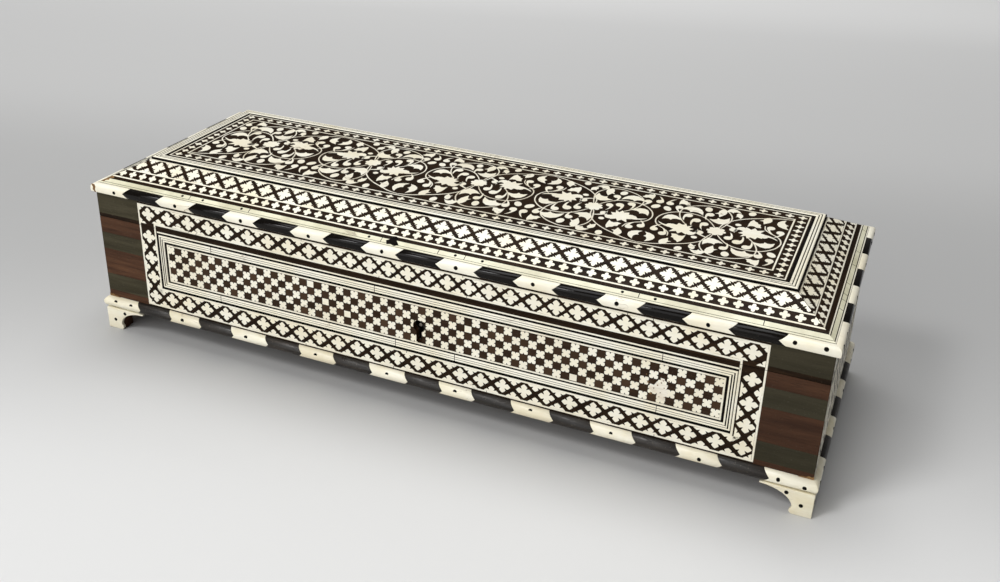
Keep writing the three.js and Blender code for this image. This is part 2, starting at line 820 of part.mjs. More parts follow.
addBaseCarcase(base);
addBaseVeneers(base);
addPanelFrame(base);
addBaseMouldings(base);
addFeet(base);
addLockCase(base);
addLockCover(base);
addLockSpring(base);
addBolt(bolt);
addHinges(base, lid);
addLidCarcase(lid);
addTopBoard(lid);
addLidVeneers(lid);
addLidFrame(lid);
addRimMouldings(lid);
addLinkPlate(lid);

export default box;
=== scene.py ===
import math
import random
from contextlib import contextmanager

import bmesh
import bpy
import numpy as np
from mathutils import Matrix, Vector


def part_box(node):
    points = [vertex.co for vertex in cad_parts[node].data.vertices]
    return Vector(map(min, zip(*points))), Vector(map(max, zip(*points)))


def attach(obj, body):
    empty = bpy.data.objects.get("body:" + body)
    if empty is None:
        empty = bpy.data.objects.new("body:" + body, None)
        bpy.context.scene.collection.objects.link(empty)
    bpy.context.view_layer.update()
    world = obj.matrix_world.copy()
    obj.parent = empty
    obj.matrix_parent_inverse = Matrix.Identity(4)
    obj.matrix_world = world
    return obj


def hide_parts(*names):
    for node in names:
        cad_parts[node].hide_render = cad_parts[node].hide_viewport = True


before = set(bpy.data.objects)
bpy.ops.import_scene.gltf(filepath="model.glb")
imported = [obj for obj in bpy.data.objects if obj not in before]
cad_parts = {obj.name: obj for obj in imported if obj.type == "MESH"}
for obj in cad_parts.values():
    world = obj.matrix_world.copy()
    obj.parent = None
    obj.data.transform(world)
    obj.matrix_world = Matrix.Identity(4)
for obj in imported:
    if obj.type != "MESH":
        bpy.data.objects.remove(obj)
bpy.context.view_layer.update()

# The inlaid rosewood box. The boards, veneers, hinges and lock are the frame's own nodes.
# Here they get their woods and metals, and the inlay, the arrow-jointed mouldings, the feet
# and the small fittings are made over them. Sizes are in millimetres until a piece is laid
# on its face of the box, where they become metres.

mm = 0.001


def corner(node, high, axis):
    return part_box(node)[1 if high else 0][axis] / mm


# Levels and faces of the box, read from the frame
faceY = -corner("base_front_veneer", False, 1)
faceX = corner("base_right_veneer", True, 0)
carcaseY = -corner("base_front_wall", False, 1)
carcaseX = corner("base_front_wall", True, 0)
baseTop = corner("base_front_wall", True, 2)
lidBottom = corner("lid_front_wall", False, 2)
bandBottom = corner("base_moulding_front", True, 2)
bandTop = corner("rim_moulding_front", False, 2)
rimTop = corner("rim_moulding_front", True, 2)
rimX = corner("rim_moulding_right", True, 0)
rimY = -corner("rim_moulding_front", False, 1)
fieldTop = corner("lid_field", True, 2)
frameTop = corner("lid_frame_front", True, 2)
cantEnd = corner("lid_frame_right", True, 0)
cantRun = carcaseX - cantEnd
cantRise = corner("lid_front_cant", True, 2) - rimTop
cantAngle = math.atan2(cantRise, cantRun)
dice = random.Random(7)


def deselect():
    if bpy.context.object and bpy.context.object.mode != "OBJECT":
        bpy.ops.object.mode_set(mode="OBJECT")
    bpy.ops.object.select_all(action="DESELECT")


def only(piece):
    deselect()
    piece.select_set(True)
    bpy.context.view_layer.objects.active = piece


@contextmanager
def editing(piece):
    # all of the piece is selected in edit mode, and afterwards it is in object mode again
    only(piece)
    bpy.ops.object.mode_set(mode="EDIT")
    bpy.ops.mesh.select_all(action="SELECT")
    yield
    bpy.ops.object.mode_set(mode="OBJECT")


def resizeSome(piece, wanted, value):
    # resize the vertices that a test on their number and place wants, about the middle
    only(piece)
    bpy.ops.object.mode_set(mode="EDIT")
    bpy.ops.mesh.select_mode(type="VERT")
    bpy.ops.mesh.select_all(action="DESELECT")
    bpy.ops.object.mode_set(mode="OBJECT")
    for vert in piece.data.vertices:
        vert.select = bool(wanted(vert.index, vert.co))
    bpy.ops.object.mode_set(mode="EDIT")
    bpy.ops.transform.resize(value=value, center_override=(0, 0, 0))
    bpy.ops.object.mode_set(mode="OBJECT")


print("stage: tools for shaders")


def put(tree, socket, value):
    # a socket's own value, or a link from another socket
    if isinstance(value, bpy.types.NodeSocket):
        tree.links.new(value, socket)
    else:
        socket.default_value = value


def worked(tree, operation, a, b):
    # a value worked out from two others, each a number or a socket
    node = tree.nodes.new("ShaderNodeMath")
    node.operation = operation
    put(tree, node.inputs[0], a)
    put(tree, node.inputs[1], b)
    return node.outputs[0]


def remap(tree, value, low, high, outLow=0.0, outHigh=1.0):
    node = tree.nodes.new("ShaderNodeMapRange")
    tree.links.new(value, node.inputs["Value"])
    for label, number in (("From Min", low), ("From Max", high), ("To Min", outLow),
                          ("To Max", outHigh)):
        node.inputs[label].default_value = number
    return node.outputs["Result"]


def noise(tree, stretch, scale, detail, rough=0.55, twist=0.0):
    # noise in the object's own coordinates, drawn out along one of them where it is stretched
    where = tree.nodes.new("ShaderNodeTexCoord")
    mapping = tree.nodes.new("ShaderNodeMapping")
    tree.links.new(where.outputs["Object"], mapping.inputs["Vector"])
    put(tree, mapping.inputs["Scale"], stretch)
    node = tree.nodes.new("ShaderNodeTexNoise")
    tree.links.new(mapping.outputs[0], node.inputs["Vector"])
    for label, value in (("Scale", scale), ("Detail", detail), ("Roughness", rough),
                         ("Distortion", twist)):
        put(tree, node.inputs[label], value)
    return node.outputs["Fac"]


def toneOf(tree):
    # the tone that each face carries
    node = tree.nodes.new("ShaderNodeAttribute")
    node.attribute_name = "shade"
    return node.outputs["Fac"]


def newGroup(name, inputs, outputs):
    group = bpy.data.node_groups.new(name, "ShaderNodeTree")
    for label, value in inputs.items():
        kind = "NodeSocketVector" if isinstance(value, tuple) else "NodeSocketFloat"
        group.interface.new_socket(label, in_out="INPUT", socket_type=kind).default_value = value
    for label in outputs:
        kind = "NodeSocketVector" if label == "Normal" else "NodeSocketFloat"
        group.interface.new_socket(label, in_out="OUTPUT", socket_type=kind)
    return group, group.nodes.new("NodeGroupInput"), group.nodes.new("NodeGroupOutput")


def giveOut(group, result, values, height, strength, distance):
    # the values that a group hands out, and the bump of a height
    for label, value in values.items():
        group.links.new(value, result.inputs[label])
    bump = group.nodes.new("ShaderNodeBump")
    bump.inputs["Distance"].default_value = distance
    group.links.new(strength, bump.inputs["Strength"])
    group.links.new(height, bump.inputs["Height"])
    group.links.new(bump.outputs["Normal"], result.inputs["Normal"])


print("stage: camera, floor and lights")

camera = {
    "place": (0.24693, -0.56194, 0.37184),
    "turn": (64.96, -1.66, 23.05),
    "lens": 39.14,
    "sensor": 36.0,
    "shiftY": -0.06,
    "nearest": 0.01,
}
room = {
    "floorSize": 14.0,
    "roughness": 0.75,
    "specular": 0.2,
    # the floor's shade bands below are painted light and shade, not the floor's own colour
    "tilt": -0.25,          # how far the bands of the floor's shade lean towards the right
    "shades": ((-0.26, 0.68), (-0.17, 0.66), (-0.10, 0.55), (-0.02, 0.45), (0.08, 0.40),
               (0.28, 0.40), (0.44, 0.52), (0.62, 0.53), (0.90, 0.62), (1.05, 0.75),
               (1.20, 0.80)),   # how far back each band lies, and its shade
    "blue": 0.993,
    "world": 0.12,
    "aim": (0, 0, 0.06),
    "lamps": {
        "key": {"place": (-1.3, -1.9, 2.6), "size": 0.8, "power": 43.0},
        "fill": {"place": (-0.7, -2.3, 0.9), "size": 2.2, "power": 37.0},
        "top": {"place": (-0.25, 0.45, 2.6), "size": 1.8, "power": 49.0},
    },
}


def makeCamera():
    lens = bpy.data.cameras.new("viewpoint")
    lens.lens = camera["lens"]
    lens.sensor_width = camera["sensor"]
    lens.shift_y = camera["shiftY"]
    lens.clip_start = camera["nearest"]
    view = bpy.data.objects.new("viewpoint", lens)
    view.location = camera["place"]
    view.rotation_euler = [math.radians(a) for a in camera["turn"]]
    bpy.context.scene.collection.objects.link(view)
    bpy.context.scene.camera = view


def makeFloor():
    # a pale floor with painted light and shade in broad soft bands from front to back: darker round
    # the box, where its shadow falls, and lighter towards the far back, to make up for the lamps'
    # falloff
    deselect()
    bpy.ops.mesh.primitive_plane_add(size=room["floorSize"], location=(0, 0, 0))
    floor = bpy.context.object
    floor.name = "floor"
    paint = bpy.data.materials.new("paleFloor")
    paint.use_nodes = True
    tree = paint.node_tree
    shader = tree.nodes["Principled BSDF"]
    shader.inputs["Roughness"].default_value = room["roughness"]
    shader.inputs["Specular IOR Level"].default_value = room["specular"]
    where = tree.nodes.new("ShaderNodeTexCoord")
    split = tree.nodes.new("ShaderNodeSeparateXYZ")
    tree.links.new(where.outputs["Object"], split.inputs[0])
    lean = worked(tree, "MULTIPLY", split.outputs["X"], room["tilt"])
    back = worked(tree, "ADD", split.outputs["Y"], lean)
    low, high = room["shades"][0][0], room["shades"][-1][0]
    ramp = tree.nodes.new("ShaderNodeValToRGB")
    ramp.color_ramp.interpolation = "B_SPLINE"
    stops = ramp.color_ramp.elements
    for k, (place, value) in enumerate(room["shades"]):
        stop = stops[k] if k < 2 else stops.new(0.999)
        stop.position = (place - low) / (high - low)
        stop.color = (value, value, value * room["blue"], 1)
    tree.links.new(remap(tree, back, low, high), ramp.inputs[0])
    tree.links.new(ramp.outputs["Color"], shader.inputs["Base Color"])
    floor.data.materials.append(paint)


def makeLight():
    world = bpy.data.worlds.new("room")
    bpy.context.scene.world = world
    world.use_nodes = True
    sky = world.node_tree.nodes["Background"]
    sky.inputs["Color"].default_value = (1, 1, 1, 1)
    sky.inputs["Strength"].default_value = room["world"]
    for name, spec in room["lamps"].items():
        lamp = bpy.data.lights.new(name, "AREA")
        lamp.size = spec["size"]
        lamp.energy = spec["power"]
        holder = bpy.data.objects.new(name, lamp)
        holder.location = spec["place"]
        aim = Vector(room["aim"]) - Vector(spec["place"])
        holder.rotation_euler = aim.to_track_quat("-Z", "Y").to_euler()
        bpy.context.scene.collection.objects.link(holder)
    bpy.context.scene.view_settings.view_transform = "Standard"


makeCamera()
makeFloor()
makeLight()


print("stage: woods, ivory and metals")


def makeGrainGroup():
    # long wood grain: broad streaks, dark pores and a matching bump
    group, given, result = newGroup("woodGrain", {
        "Stretch": (1, 12, 12), "Scale": 18.0, "Bump": 0.25},
        ("Streaks", "Pores", "Clouds", "Normal"))
    stretch, scale = given.outputs["Stretch"], given.outputs["Scale"]
    streaks = noise(group, stretch, scale, 6, 0.6, 0.4)
    fine = worked(group, "MULTIPLY", scale, 7.0)
    pores = remap(group, noise(group, stretch, fine, 3, 0.7), 0.30, 0.44, 1, 0)
    clouds = noise(group, (1, 1, 1), 14.0, 2)
    giveOut(group, result, {"Streaks": remap(group, streaks, 0.36, 0.66), "Pores": pores,
                            "Clouds": remap(group, clouds, 0.35, 0.65)},
            worked(group, "SUBTRACT", streaks, pores), given.outputs["Bump"], 0.0002)
    return group


def makeIvoryGroup():
    # old ivory: yellowing in clouds, fine growth lines, stained cracks and the piece's own tone
    group, given, result = newGroup("ivoryFigure", {"Line Scale": 420.0, "Bump": 0.2},
                                    ("Yellowing", "Lines", "Cracks", "Shade", "Normal"))
    clouds = noise(group, (1, 1, 1), 42.0, 4, 0.6)
    lines = noise(group, (0.12, 1, 1), given.outputs["Line Scale"], 3, 0.6)
    cracks = noise(group, (0.22, 1, 1), 190.0, 2, 0.5, 0.6)
    thin = worked(group, "ABSOLUTE", worked(group, "SUBTRACT", cracks, 0.5), 0)
    patches = remap(group, noise(group, (1, 1, 1), 27.0, 1), 0.58, 0.66)
    cracks = worked(group, "MULTIPLY", remap(group, thin, 0.0, 0.012, 1, 0), patches)
    giveOut(group, result, {"Yellowing": remap(group, clouds, 0.42, 0.68),
                            "Lines": remap(group, lines, 0.35, 0.65), "Cracks": cracks,
                            "Shade": toneOf(group)},
            worked(group, "SUBTRACT", lines, cracks), given.outputs["Bump"], 0.0001)
    return group


def makeWearGroup():
    # a soft film of handling: smudges for the gloss, and fine dust
    group, given, result = newGroup("handlingWear", {"Low": 0.3, "High": 0.5},
                                    ("Roughness", "Dust"))
    smudge = remap(group, noise(group, (1, 1, 1), 60.0, 5, 0.6), 0.3, 0.7)
    spread = worked(group, "SUBTRACT", given.outputs["High"], given.outputs["Low"])
    rough = worked(group, "ADD", given.outputs["Low"],
                   worked(group, "MULTIPLY", smudge, spread))
    group.links.new(rough, result.inputs["Roughness"])
    dust = remap(group, noise(group, (1, 1, 1), 900.0, 2, 0.6), 0.62, 0.72)
    group.links.new(dust, result.inputs["Dust"])
    return group


grainGroup = makeGrainGroup()
ivoryGroup = makeIvoryGroup()
wearGroup = makeWearGroup()


def placeGroup(tree, group, values):
    node = tree.nodes.new("ShaderNodeGroup")
    node.node_tree = group
    for label, value in values.items():
        node.inputs[label].default_value = value
    return node


def newMaterial(name, spec):
    # a shader whose gloss has the wear of handling
    material = bpy.data.materials.new(name)
    material.use_nodes = True
    tree = material.node_tree
    shader = tree.nodes["Principled BSDF"]
    low, high = spec.get("gloss", (0.36, 0.5))
    wear = placeGroup(tree, wearGroup, {"Low": low, "High": high})
    tree.links.new(wear.outputs["Roughness"], shader.inputs["Roughness"])
    return material, tree, shader, wear


def coat(tree, shader, colour, layers, normal):
    # a first colour, and each of the others over it where its mask lets it show
    for mask, over, strength in layers:
        mix = tree.nodes.new("ShaderNodeMix")
        mix.data_type = "RGBA"
        mask = mask if strength == 1 else worked(tree, "MULTIPLY", mask, strength)
        tree.links.new(mask, mix.inputs[0])
        put(tree, mix.inputs[6], (*colour, 1) if isinstance(colour, tuple) else colour)
        mix.inputs[7].default_value = (*over, 1)
        colour = mix.outputs[2]
    tree.links.new(colour, shader.inputs["Base Color"])
    tree.links.new(normal, shader.inputs["Normal"])


def makeWood(name, spec):
    material, tree, shader, wear = newMaterial(name, spec)
    grain = placeGroup(tree, grainGroup, {
        "Stretch": spec.get("stretch", (1, 12, 12)), "Scale": spec["scale"],
        "Bump": spec.get("bump", 0.25)})
    layers = [(grain.outputs["Streaks"], spec["light"], 1),
              (grain.outputs["Clouds"], spec["cloud"], 0.45),
              (grain.outputs["Pores"], spec["pore"], 0.5),
              (wear.outputs["Dust"], spec["dust"], 0.22)]
    if "tone" in spec:
        layers.append((toneOf(tree), spec["tone"], 1))
    coat(tree, shader, spec["dark"], layers, grain.outputs["Normal"])
    shader.inputs["Specular IOR Level"].default_value = spec.get("specular", 0.14)
    return material


def makeIvory(name, spec):
    material, tree, shader, _ = newMaterial(name, spec)
    figure = placeGroup(tree, ivoryGroup, {"Line Scale": spec["lines"], "Bump": 0.25})
    layers = [(figure.outputs[label], spec[part], strength) for label, part, strength in (
        ("Yellowing", "yellow", 0.8), ("Lines", "line", 0.35), ("Shade", "tone", 1),
        ("Cracks", "crack", 0.75))]
    coat(tree, shader, spec["pale"], layers, figure.outputs["Normal"])
    return material


def makeMetal(name, spec):
    material, tree, shader, wear = newMaterial(name, spec)
    grain = placeGroup(tree, grainGroup, {"Stretch": (1, 8, 8), "Scale": 60.0, "Bump": 0.08})
    layers = [(grain.outputs["Clouds"], spec["dull"], 1), (wear.outputs["Dust"], spec["spot"], 0.6)]
    coat(tree, shader, spec["bright"], layers, grain.outputs["Normal"])
    shader.inputs["Metallic"].default_value = 1.0
    return material


woods = {
    "rosewood": {"dark": (0.034, 0.0135, 0.0062), "light": (0.112, 0.050, 0.024),
                 "cloud": (0.058, 0.026, 0.013), "pore": (0.012, 0.006, 0.003),
                 "dust": (0.12, 0.09, 0.06), "tone": (0.020, 0.0095, 0.0060), "scale": 20.0,
                 "specular": 0.1},
    "ground": {"dark": (0.0085, 0.0042, 0.0017), "light": (0.026, 0.0135, 0.0058),
               "cloud": (0.015, 0.0080, 0.0035), "pore": (0.004, 0.002, 0.001),
               "dust": (0.10, 0.07, 0.045), "scale": 26.0, "specular": 0.06},
    "groundTile": {"dark": (0.017, 0.0088, 0.0046), "light": (0.040, 0.022, 0.0118),
                   "cloud": (0.026, 0.0145, 0.0080), "pore": (0.008, 0.005, 0.003),
                   "dust": (0.14, 0.11, 0.08), "tone": (0.060, 0.034, 0.019), "scale": 30.0,
                   "specular": 0.06},
    "greenWood": {"dark": (0.032, 0.0270, 0.0140), "light": (0.062, 0.053, 0.031),
                  "cloud": (0.043, 0.0375, 0.022), "pore": (0.016, 0.013, 0.008),
                  "dust": (0.14, 0.12, 0.09), "tone": (0.022, 0.0195, 0.0125), "scale": 16.0,
                  "specular": 0.08},
    "ebony": {"dark": (0.0025, 0.0020, 0.0016), "light": (0.0080, 0.0064, 0.0052),
              "cloud": (0.0045, 0.0036, 0.003), "pore": (0.002, 0.0015, 0.001),
              "dust": (0.05, 0.04, 0.03), "scale": 30.0, "gloss": (0.06, 0.13),
              "specular": 0.12, "bump": 0.06},
    "worn": {"dark": (0.11, 0.055, 0.020), "light": (0.30, 0.18, 0.075),
             "cloud": (0.20, 0.11, 0.045), "pore": (0.03, 0.015, 0.008),
             "dust": (0.35, 0.28, 0.18), "scale": 60.0, "gloss": (0.5, 0.7)},
}
# the same woods with their grain from front to back, for the ends of the box
for name, source in (("endWood", "rosewood"), ("endGround", "ground"),
                     ("endGroundTile", "groundTile")):
    woods[name] = {**woods[source], "stretch": (12, 1, 12)}
woods["dullEbony"] = {**woods["ebony"], "light": (0.034, 0.027, 0.021),
                      "cloud": (0.018, 0.014, 0.011), "dust": (0.22, 0.18, 0.13),
                      "gloss": (0.26, 0.46), "specular": 0.3, "bump": 0.3}
# a dull black: real black stringing, pegs and joints, and also the sheets of painted shade and
# shadow beside the raised frames and in their grooves
woods["dirt"] = {**woods["ebony"], "gloss": (0.6, 0.8), "specular": 0.05}
ivories = {
    "ivory": {"pale": (0.895, 0.865, 0.745), "yellow": (0.84, 0.77, 0.57),
              "line": (0.80, 0.74, 0.58), "tone": (0.64, 0.57, 0.42),
              "crack": (0.20, 0.13, 0.07), "lines": 420.0, "gloss": (0.30, 0.46)},
    "oldIvory": {"pale": (0.90, 0.866, 0.72), "yellow": (0.80, 0.72, 0.49),
                 "line": (0.70, 0.61, 0.41), "tone": (0.60, 0.51, 0.33),
                 "crack": (0.16, 0.09, 0.04), "lines": 300.0, "gloss": (0.26, 0.42)},
    "bone": {"pale": (0.88, 0.85, 0.73), "yellow": (0.77, 0.70, 0.52),
             "line": (0.66, 0.60, 0.45), "tone": (0.50, 0.43, 0.31),
             "crack": (0.12, 0.08, 0.05), "lines": 700.0, "gloss": (0.34, 0.52)},
    "fillet": {"pale": (0.77, 0.745, 0.56), "yellow": (0.47, 0.44, 0.29),
               "line": (0.56, 0.53, 0.37), "tone": (0.46, 0.42, 0.28),
               "crack": (0.14, 0.09, 0.05), "lines": 420.0, "gloss": (0.28, 0.42)},
    "filler": {"pale": (0.90, 0.87, 0.77), "yellow": (0.74, 0.65, 0.48),
               "line": (0.42, 0.31, 0.19), "tone": (0.60, 0.52, 0.40),
               "crack": (0.08, 0.04, 0.02), "lines": 520.0, "gloss": (0.5, 0.7)},
}
metals = {
    "brass": {"bright": (0.62, 0.45, 0.19), "dull": (0.36, 0.25, 0.11),
              "spot": (0.10, 0.07, 0.04), "gloss": (0.28, 0.46)},
    "steel": {"bright": (0.30, 0.28, 0.25), "dull": (0.15, 0.13, 0.11),
              "spot": (0.10, 0.05, 0.03), "gloss": (0.38, 0.6)},
}
finish = {name: make(name, spec)
          for make, specs in ((makeWood, woods), (makeIvory, ivories), (makeMetal, metals))
          for name, spec in specs.items()}


def dressNodes():
    for name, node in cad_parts.items():
        atEnd = "left" in name or "right" in name
        if name.startswith("hinge"):
            look = "brass"
        elif name.startswith("lock"):
            look = "steel"
        elif "frame" in name or "facing" in name:
            look = "ivory"
        elif "moulding" in name:
            look = "ebony"
        elif name.endswith("back_veneer"):
            look = "rosewood"
        elif "veneer" in name or "cant" in name or "field" in name:
            look = "endGround" if atEnd else "ground"
        else:
            look = "endWood" if atEnd and "wall" in name else "rosewood"
        for slot in node.material_slots:
            slot.material = finish[look]


dressNodes()


print("stage: tools for flat pieces")


def facePanel(origin, across, up):
    # millimetres on a flat face: across, up and out of it, turned into metres in the room
    across, up = Vector(across), Vector(up)
    out = across.cross(up)
    turn = Matrix((across, up, out)).transposed().to_4x4()
    return Matrix.Translation(Vector(origin) * mm) @ turn @ Matrix.Scale(mm, 4)


def turned(matrix, angle):
    return Matrix.Rotation(angle, 4, "Z") @ matrix


def wallPanel(face, angle=0):
    # an upright face of the box that stands this far out from its middle
    return turned(facePanel((0, -face, 0), (1, 0, 0), (0, 0, 1)), angle)


def cantPanel(angle, face):
    # a cant of the lid: across it, and up the slope from the moulding
    up = (0, math.cos(cantAngle), math.sin(cantAngle))
    return turned(facePanel((0, -face, rimTop), (1, 0, 0), up), angle)


quarter = math.pi / 2
frontPanel = wallPanel(faceY)
fieldPanel = facePanel((0, 0, fieldTop), (1, 0, 0), (0, 1, 0))
# the sides of the carcase: turn, half length and distance from the middle
sides = {"front": (0, carcaseX, carcaseY), "back": (math.pi, carcaseX, carcaseY),
         "right": (quarter, carcaseY, carcaseX), "left": (-quarter, carcaseY, carcaseX)}
roundTheBox = ("front", "right", "back", "left")
frameWidth = corner("lid_frame_right", True, 0) - corner("lid_frame_right", False, 0)


def giveShade(piece, value):
    # each piece carries its own tone, read by the ivory and wood
    tone = piece.data.attributes.get("shade") or piece.data.attributes.new(
        "shade", "FLOAT", "FACE")
    tone.data.foreach_set("value", [value] * len(piece.data.polygons))


def handIn(piece, look, body, replaced=()):
    piece.data.materials.clear()
    piece.data.materials.append(finish[look])
    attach(piece, body)
    if replaced:
        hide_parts(*replaced)
    return piece


def recalculate(piece):
    with editing(piece):
        bpy.ops.mesh.normals_make_consistent(inside=False)


def sheet(u0, u1, v0, v1):
    # a flat sheet on the face, ready to be cut and thickened
    deselect()
    bpy.ops.mesh.primitive_plane_add(size=1, location=((u0 + u1) / 2, (v0 + v1) / 2, 0))
    piece = bpy.context.object
    piece.scale = (u1 - u0, v1 - v0, 1)
    bpy.ops.object.transform_apply(location=True, rotation=False, scale=True)
    return piece


def frameOf(halfU, v0, v1, width):
    # a picture frame cut from a sheet
    piece = sheet(-halfU, halfU, v0, v1)
    with editing(piece):
        bpy.ops.mesh.inset(thickness=width, depth=0)
        bpy.ops.mesh.delete(type="FACE")
    return piece


def thicken(piece, low, high):
    with editing(piece):
        bpy.ops.transform.translate(value=(0, 0, low))
        bpy.ops.mesh.extrude_region_move(TRANSFORM_OT_translate={"value": (0, 0, high - low)})
        bpy.ops.mesh.select_all(action="SELECT")
        bpy.ops.mesh.normals_make_consistent(inside=False)
    return piece


def sawOff(piece, place, towards, behind=False):
    # saw through a piece and drop what lies past the cut, or what lies behind it
    with editing(piece):
        bpy.ops.mesh.bisect(plane_co=place, plane_no=towards, use_fill=True, clear_inner=behind,
                            clear_outer=not behind)
    return piece


def cutWith(piece, tool, itself=False):
    only(piece)
    cut = piece.modifiers.new("cut", "BOOLEAN")
    cut.operation, cut.object, cut.solver = "DIFFERENCE", tool, "EXACT"
    cut.use_self = itself
    bpy.ops.object.modifier_apply(modifier=cut.name)
    bpy.data.objects.remove(tool)


def roundEdges(piece, width, segments=2, angle=40):
    only(piece)
    bevel = piece.modifiers.new("edges", "BEVEL")
    bevel.width, bevel.segments = width, segments
    bevel.limit_method, bevel.angle_limit = "ANGLE", math.radians(angle)
    bpy.ops.object.modifier_apply(modifier=bevel.name)


def smooth(piece, angle=35):
    only(piece)
    bpy.ops.object.shade_smooth_by_angle(angle=math.radians(angle))


def copyOf(piece):
    twin = bpy.data.objects.new(piece.name, piece.data.copy())
    bpy.context.scene.collection.objects.link(twin)
    return twin


def joinPieces(pieces, name):
    deselect()
    for piece in pieces:
        piece.select_set(True)
    bpy.context.view_layer.objects.active = pieces[0]
    if len(pieces) > 1:
        bpy.ops.object.join()
    pieces[0].name = name
    pieces[0].data.name = name
    return pieces[0]


def lay(pieces, name, matrix, look, body):
    # tone the pieces, join them, and set them on their face of the box
    for piece in pieces:
        giveShade(piece, dice.random() ** 2 * 0.2)
    piece = joinPieces(pieces, name)
    piece.data.transform(matrix)
    return handIn(piece, look, body)


print("stage: motifs of the inlay")

motifDepth = {"low": -0.3, "high": 0.07}
# how far out of true hand-sawn pieces are: degrees, share of their size, and millimetres
outOfTrue = {"turn": 1.6, "size": 0.03, "across": 0.12, "up": 0.10}


def roundBlank(name, corners):
    deselect()
    bpy.ops.mesh.primitive_circle_add(vertices=corners, radius=1, fill_type="NGON")
    blank = bpy.context.object
    blank.name = name
    return blank


def dragRim(name, outline):
    # drag each point of a round blank to its place on a drawn outline
    blank = roundBlank(name, len(outline))
    with editing(blank):
        bpy.ops.mesh.select_mode(type="VERT")
        cage = bmesh.from_edit_mesh(blank.data)
        cage.verts.ensure_lookup_table()
        for k, (u, v) in enumerate(outline):
            bpy.ops.mesh.select_all(action="DESELECT")
            cage.verts[k].select_set(True)
            bpy.ops.transform.translate(value=Vector((u, v, 0)) - cage.verts[k].co)
    return blank


def filedMotif(name, corners, every, radii):
    # a round blank whose rim is filed to the same radii again and again
    blank = roundBlank(name, corners)
    for step, radius in enumerate(radii):
        resizeSome(blank, lambda k, co: k % every in (step, (every - step) % every),
                   (radius, radius, 1))
    return thicken(blank, **motifDepth)


motifs = {
    # four lobes with a deep nick between them
    "floret": filedMotif("floret", 32, 8, (1.0, 0.89, 0.80, 0.74, 0.37)),
    # the same in small, as the ivory squares of the chequers
    "tile": filedMotif("tile", 32, 8, (0.95, 0.892, 0.795, 0.738, 0.42)),
    # eight lobes, the four on the diagonals shorter
    "eightLobe": filedMotif("eightLobe", 32, 8, (1.0, 0.89, 0.68, 0.79, 0.37)),
    "cross": filedMotif("cross", 24, 6, (1.0, 0.95, 0.76, 0.52)),
    "star": filedMotif("star", 24, 6, (1.0, 0.88, 0.60, 0.48)),
    "rosette": filedMotif("rosette", 32, 4, (1.0, 0.95, 0.76)),
    "bud": filedMotif("bud", 12, 12, (1.0,)),
}
drawn = {
    # a ragged flower, with its foot down
    "palmette": ((-.22, -1.08), (.04, -.78), (.46, -1.0), (.58, -.58), (1.0, -.70),
                 (.76, -.16), (1.08, .14), (.72, .30), (1.02, .92), (.42, .66), (.2, 1.08),
                 (-.08, .68), (-.54, 1.04), (-.54, .50), (-1.06, .64), (-.68, .12),
                 (-1.02, -.28), (-.60, -.38), (-.78, -.88), (-.36, -.62)),
    # a leaf bowed like a wing, points at both ends and a barb on the hollow side
    "wing": ((1.04, .36), (.62, .22), (.30, .30), (.12, .58), (-.06, .32), (-.42, .24),
             (-.72, .36), (-1.04, .58), (-.86, -.02), (-.56, -.48), (-.12, -.72),
             (.34, -.64), (.74, -.24)),
    # a drop with its point up and a spur on one side
    "drop": ((0, 1.0), (-.20, .62), (-.42, .18), (-.46, -.28), (-.30, -.72), (0, -1.0),
             (.26, -.74), (.40, -.32), (.36, .02), (.62, .40), (.30, .30), (.14, .62)),
    # half a palmette, point up, with a hollow foot
    "half": ((-.12, 1.0), (-.44, .50), (-.56, -.10), (-.62, -.92), (-.30, -.62), (.10, -.58),
             (.42, -.84), (.98, -.76), (.80, -.30), (.86, .02), (.52, .16), (.40, .48),
             (.12, .62)),
    # a round head whose tail rises beside it
    "comma": ((.52, 3.5), (.66, 2.7), (.70, 1.9), (.62, 1.2), (.36, .92), (-.14, 1.02),
              (-.72, .74), (-1.02, .12), (-.90, -.52), (-.40, -.98), (.26, -1.0),
              (.82, -.64), (1.10, -.04), (1.20, .80), (1.16, 1.8), (.98, 2.7)),
    "square": ((.5, .5), (-.5, .5), (-.5, -.5), (.5, -.5)),
}
for name, outline in drawn.items():
    motifs[name] = thicken(dragRim(name, outline), **motifDepth)
for name, source, towards in (("halfFloret", "floret", (0, 1, 0)),
                              ("halfEight", "eightLobe", (0, 1, 0)),
                              ("quarter", "halfFloret", (1, 0, 0))):
    motifs[name] = sawOff(copyOf(motifs[source]), (0, 0, 0), towards, behind=True)


def stampMotifs(name, kind, spots, matrix, look, body, spread=0.2, loose=1.0):
    # one copy of a motif at each spot: across, up, turn in degrees, and its two half sizes,
    # each a little out of true as hand-sawn pieces are, and raised by a sixth number
    source = motifs[kind].data
    base = np.array([v.co[:] for v in source.vertices])
    polygons = [list(p.vertices) for p in source.polygons]
    verts, faces, shades = [], [], []
    for u, v, turn, sizeU, sizeV, *lift in spots:
        off = {key: dice.uniform(-most, most) * loose for key, most in outOfTrue.items()}
        turn = math.radians(turn + off["turn"])
        x, y = base[:, 0] * sizeU * (1 + off["size"]), base[:, 1] * sizeV * (1 + off["size"])
        cos, sin = math.cos(turn), math.sin(turn)
        start = len(verts)
        verts += np.column_stack((u + off["across"] + x * cos - y * sin,
                                  v + off["up"] + x * sin + y * cos,
                                  base[:, 2] + sum(lift))).tolist()
        flip = sizeU * sizeV < 0
        faces += [[start + k for k in (reversed(p) if flip else p)] for p in polygons]
        shades += [dice.random() ** 2 * spread] * len(polygons)
    data = bpy.data.meshes.new(name)
    data.from_pydata(verts, [], faces)
    piece = bpy.data.objects.new(name, data)
    bpy.context.scene.collection.objects.link(piece)
    data.attributes.new("shade", "FLOAT", "FACE").data.foreach_set("value", shades)
    data.transform(matrix)
    return handIn(piece, look, body)


print("stage: front and end panels")

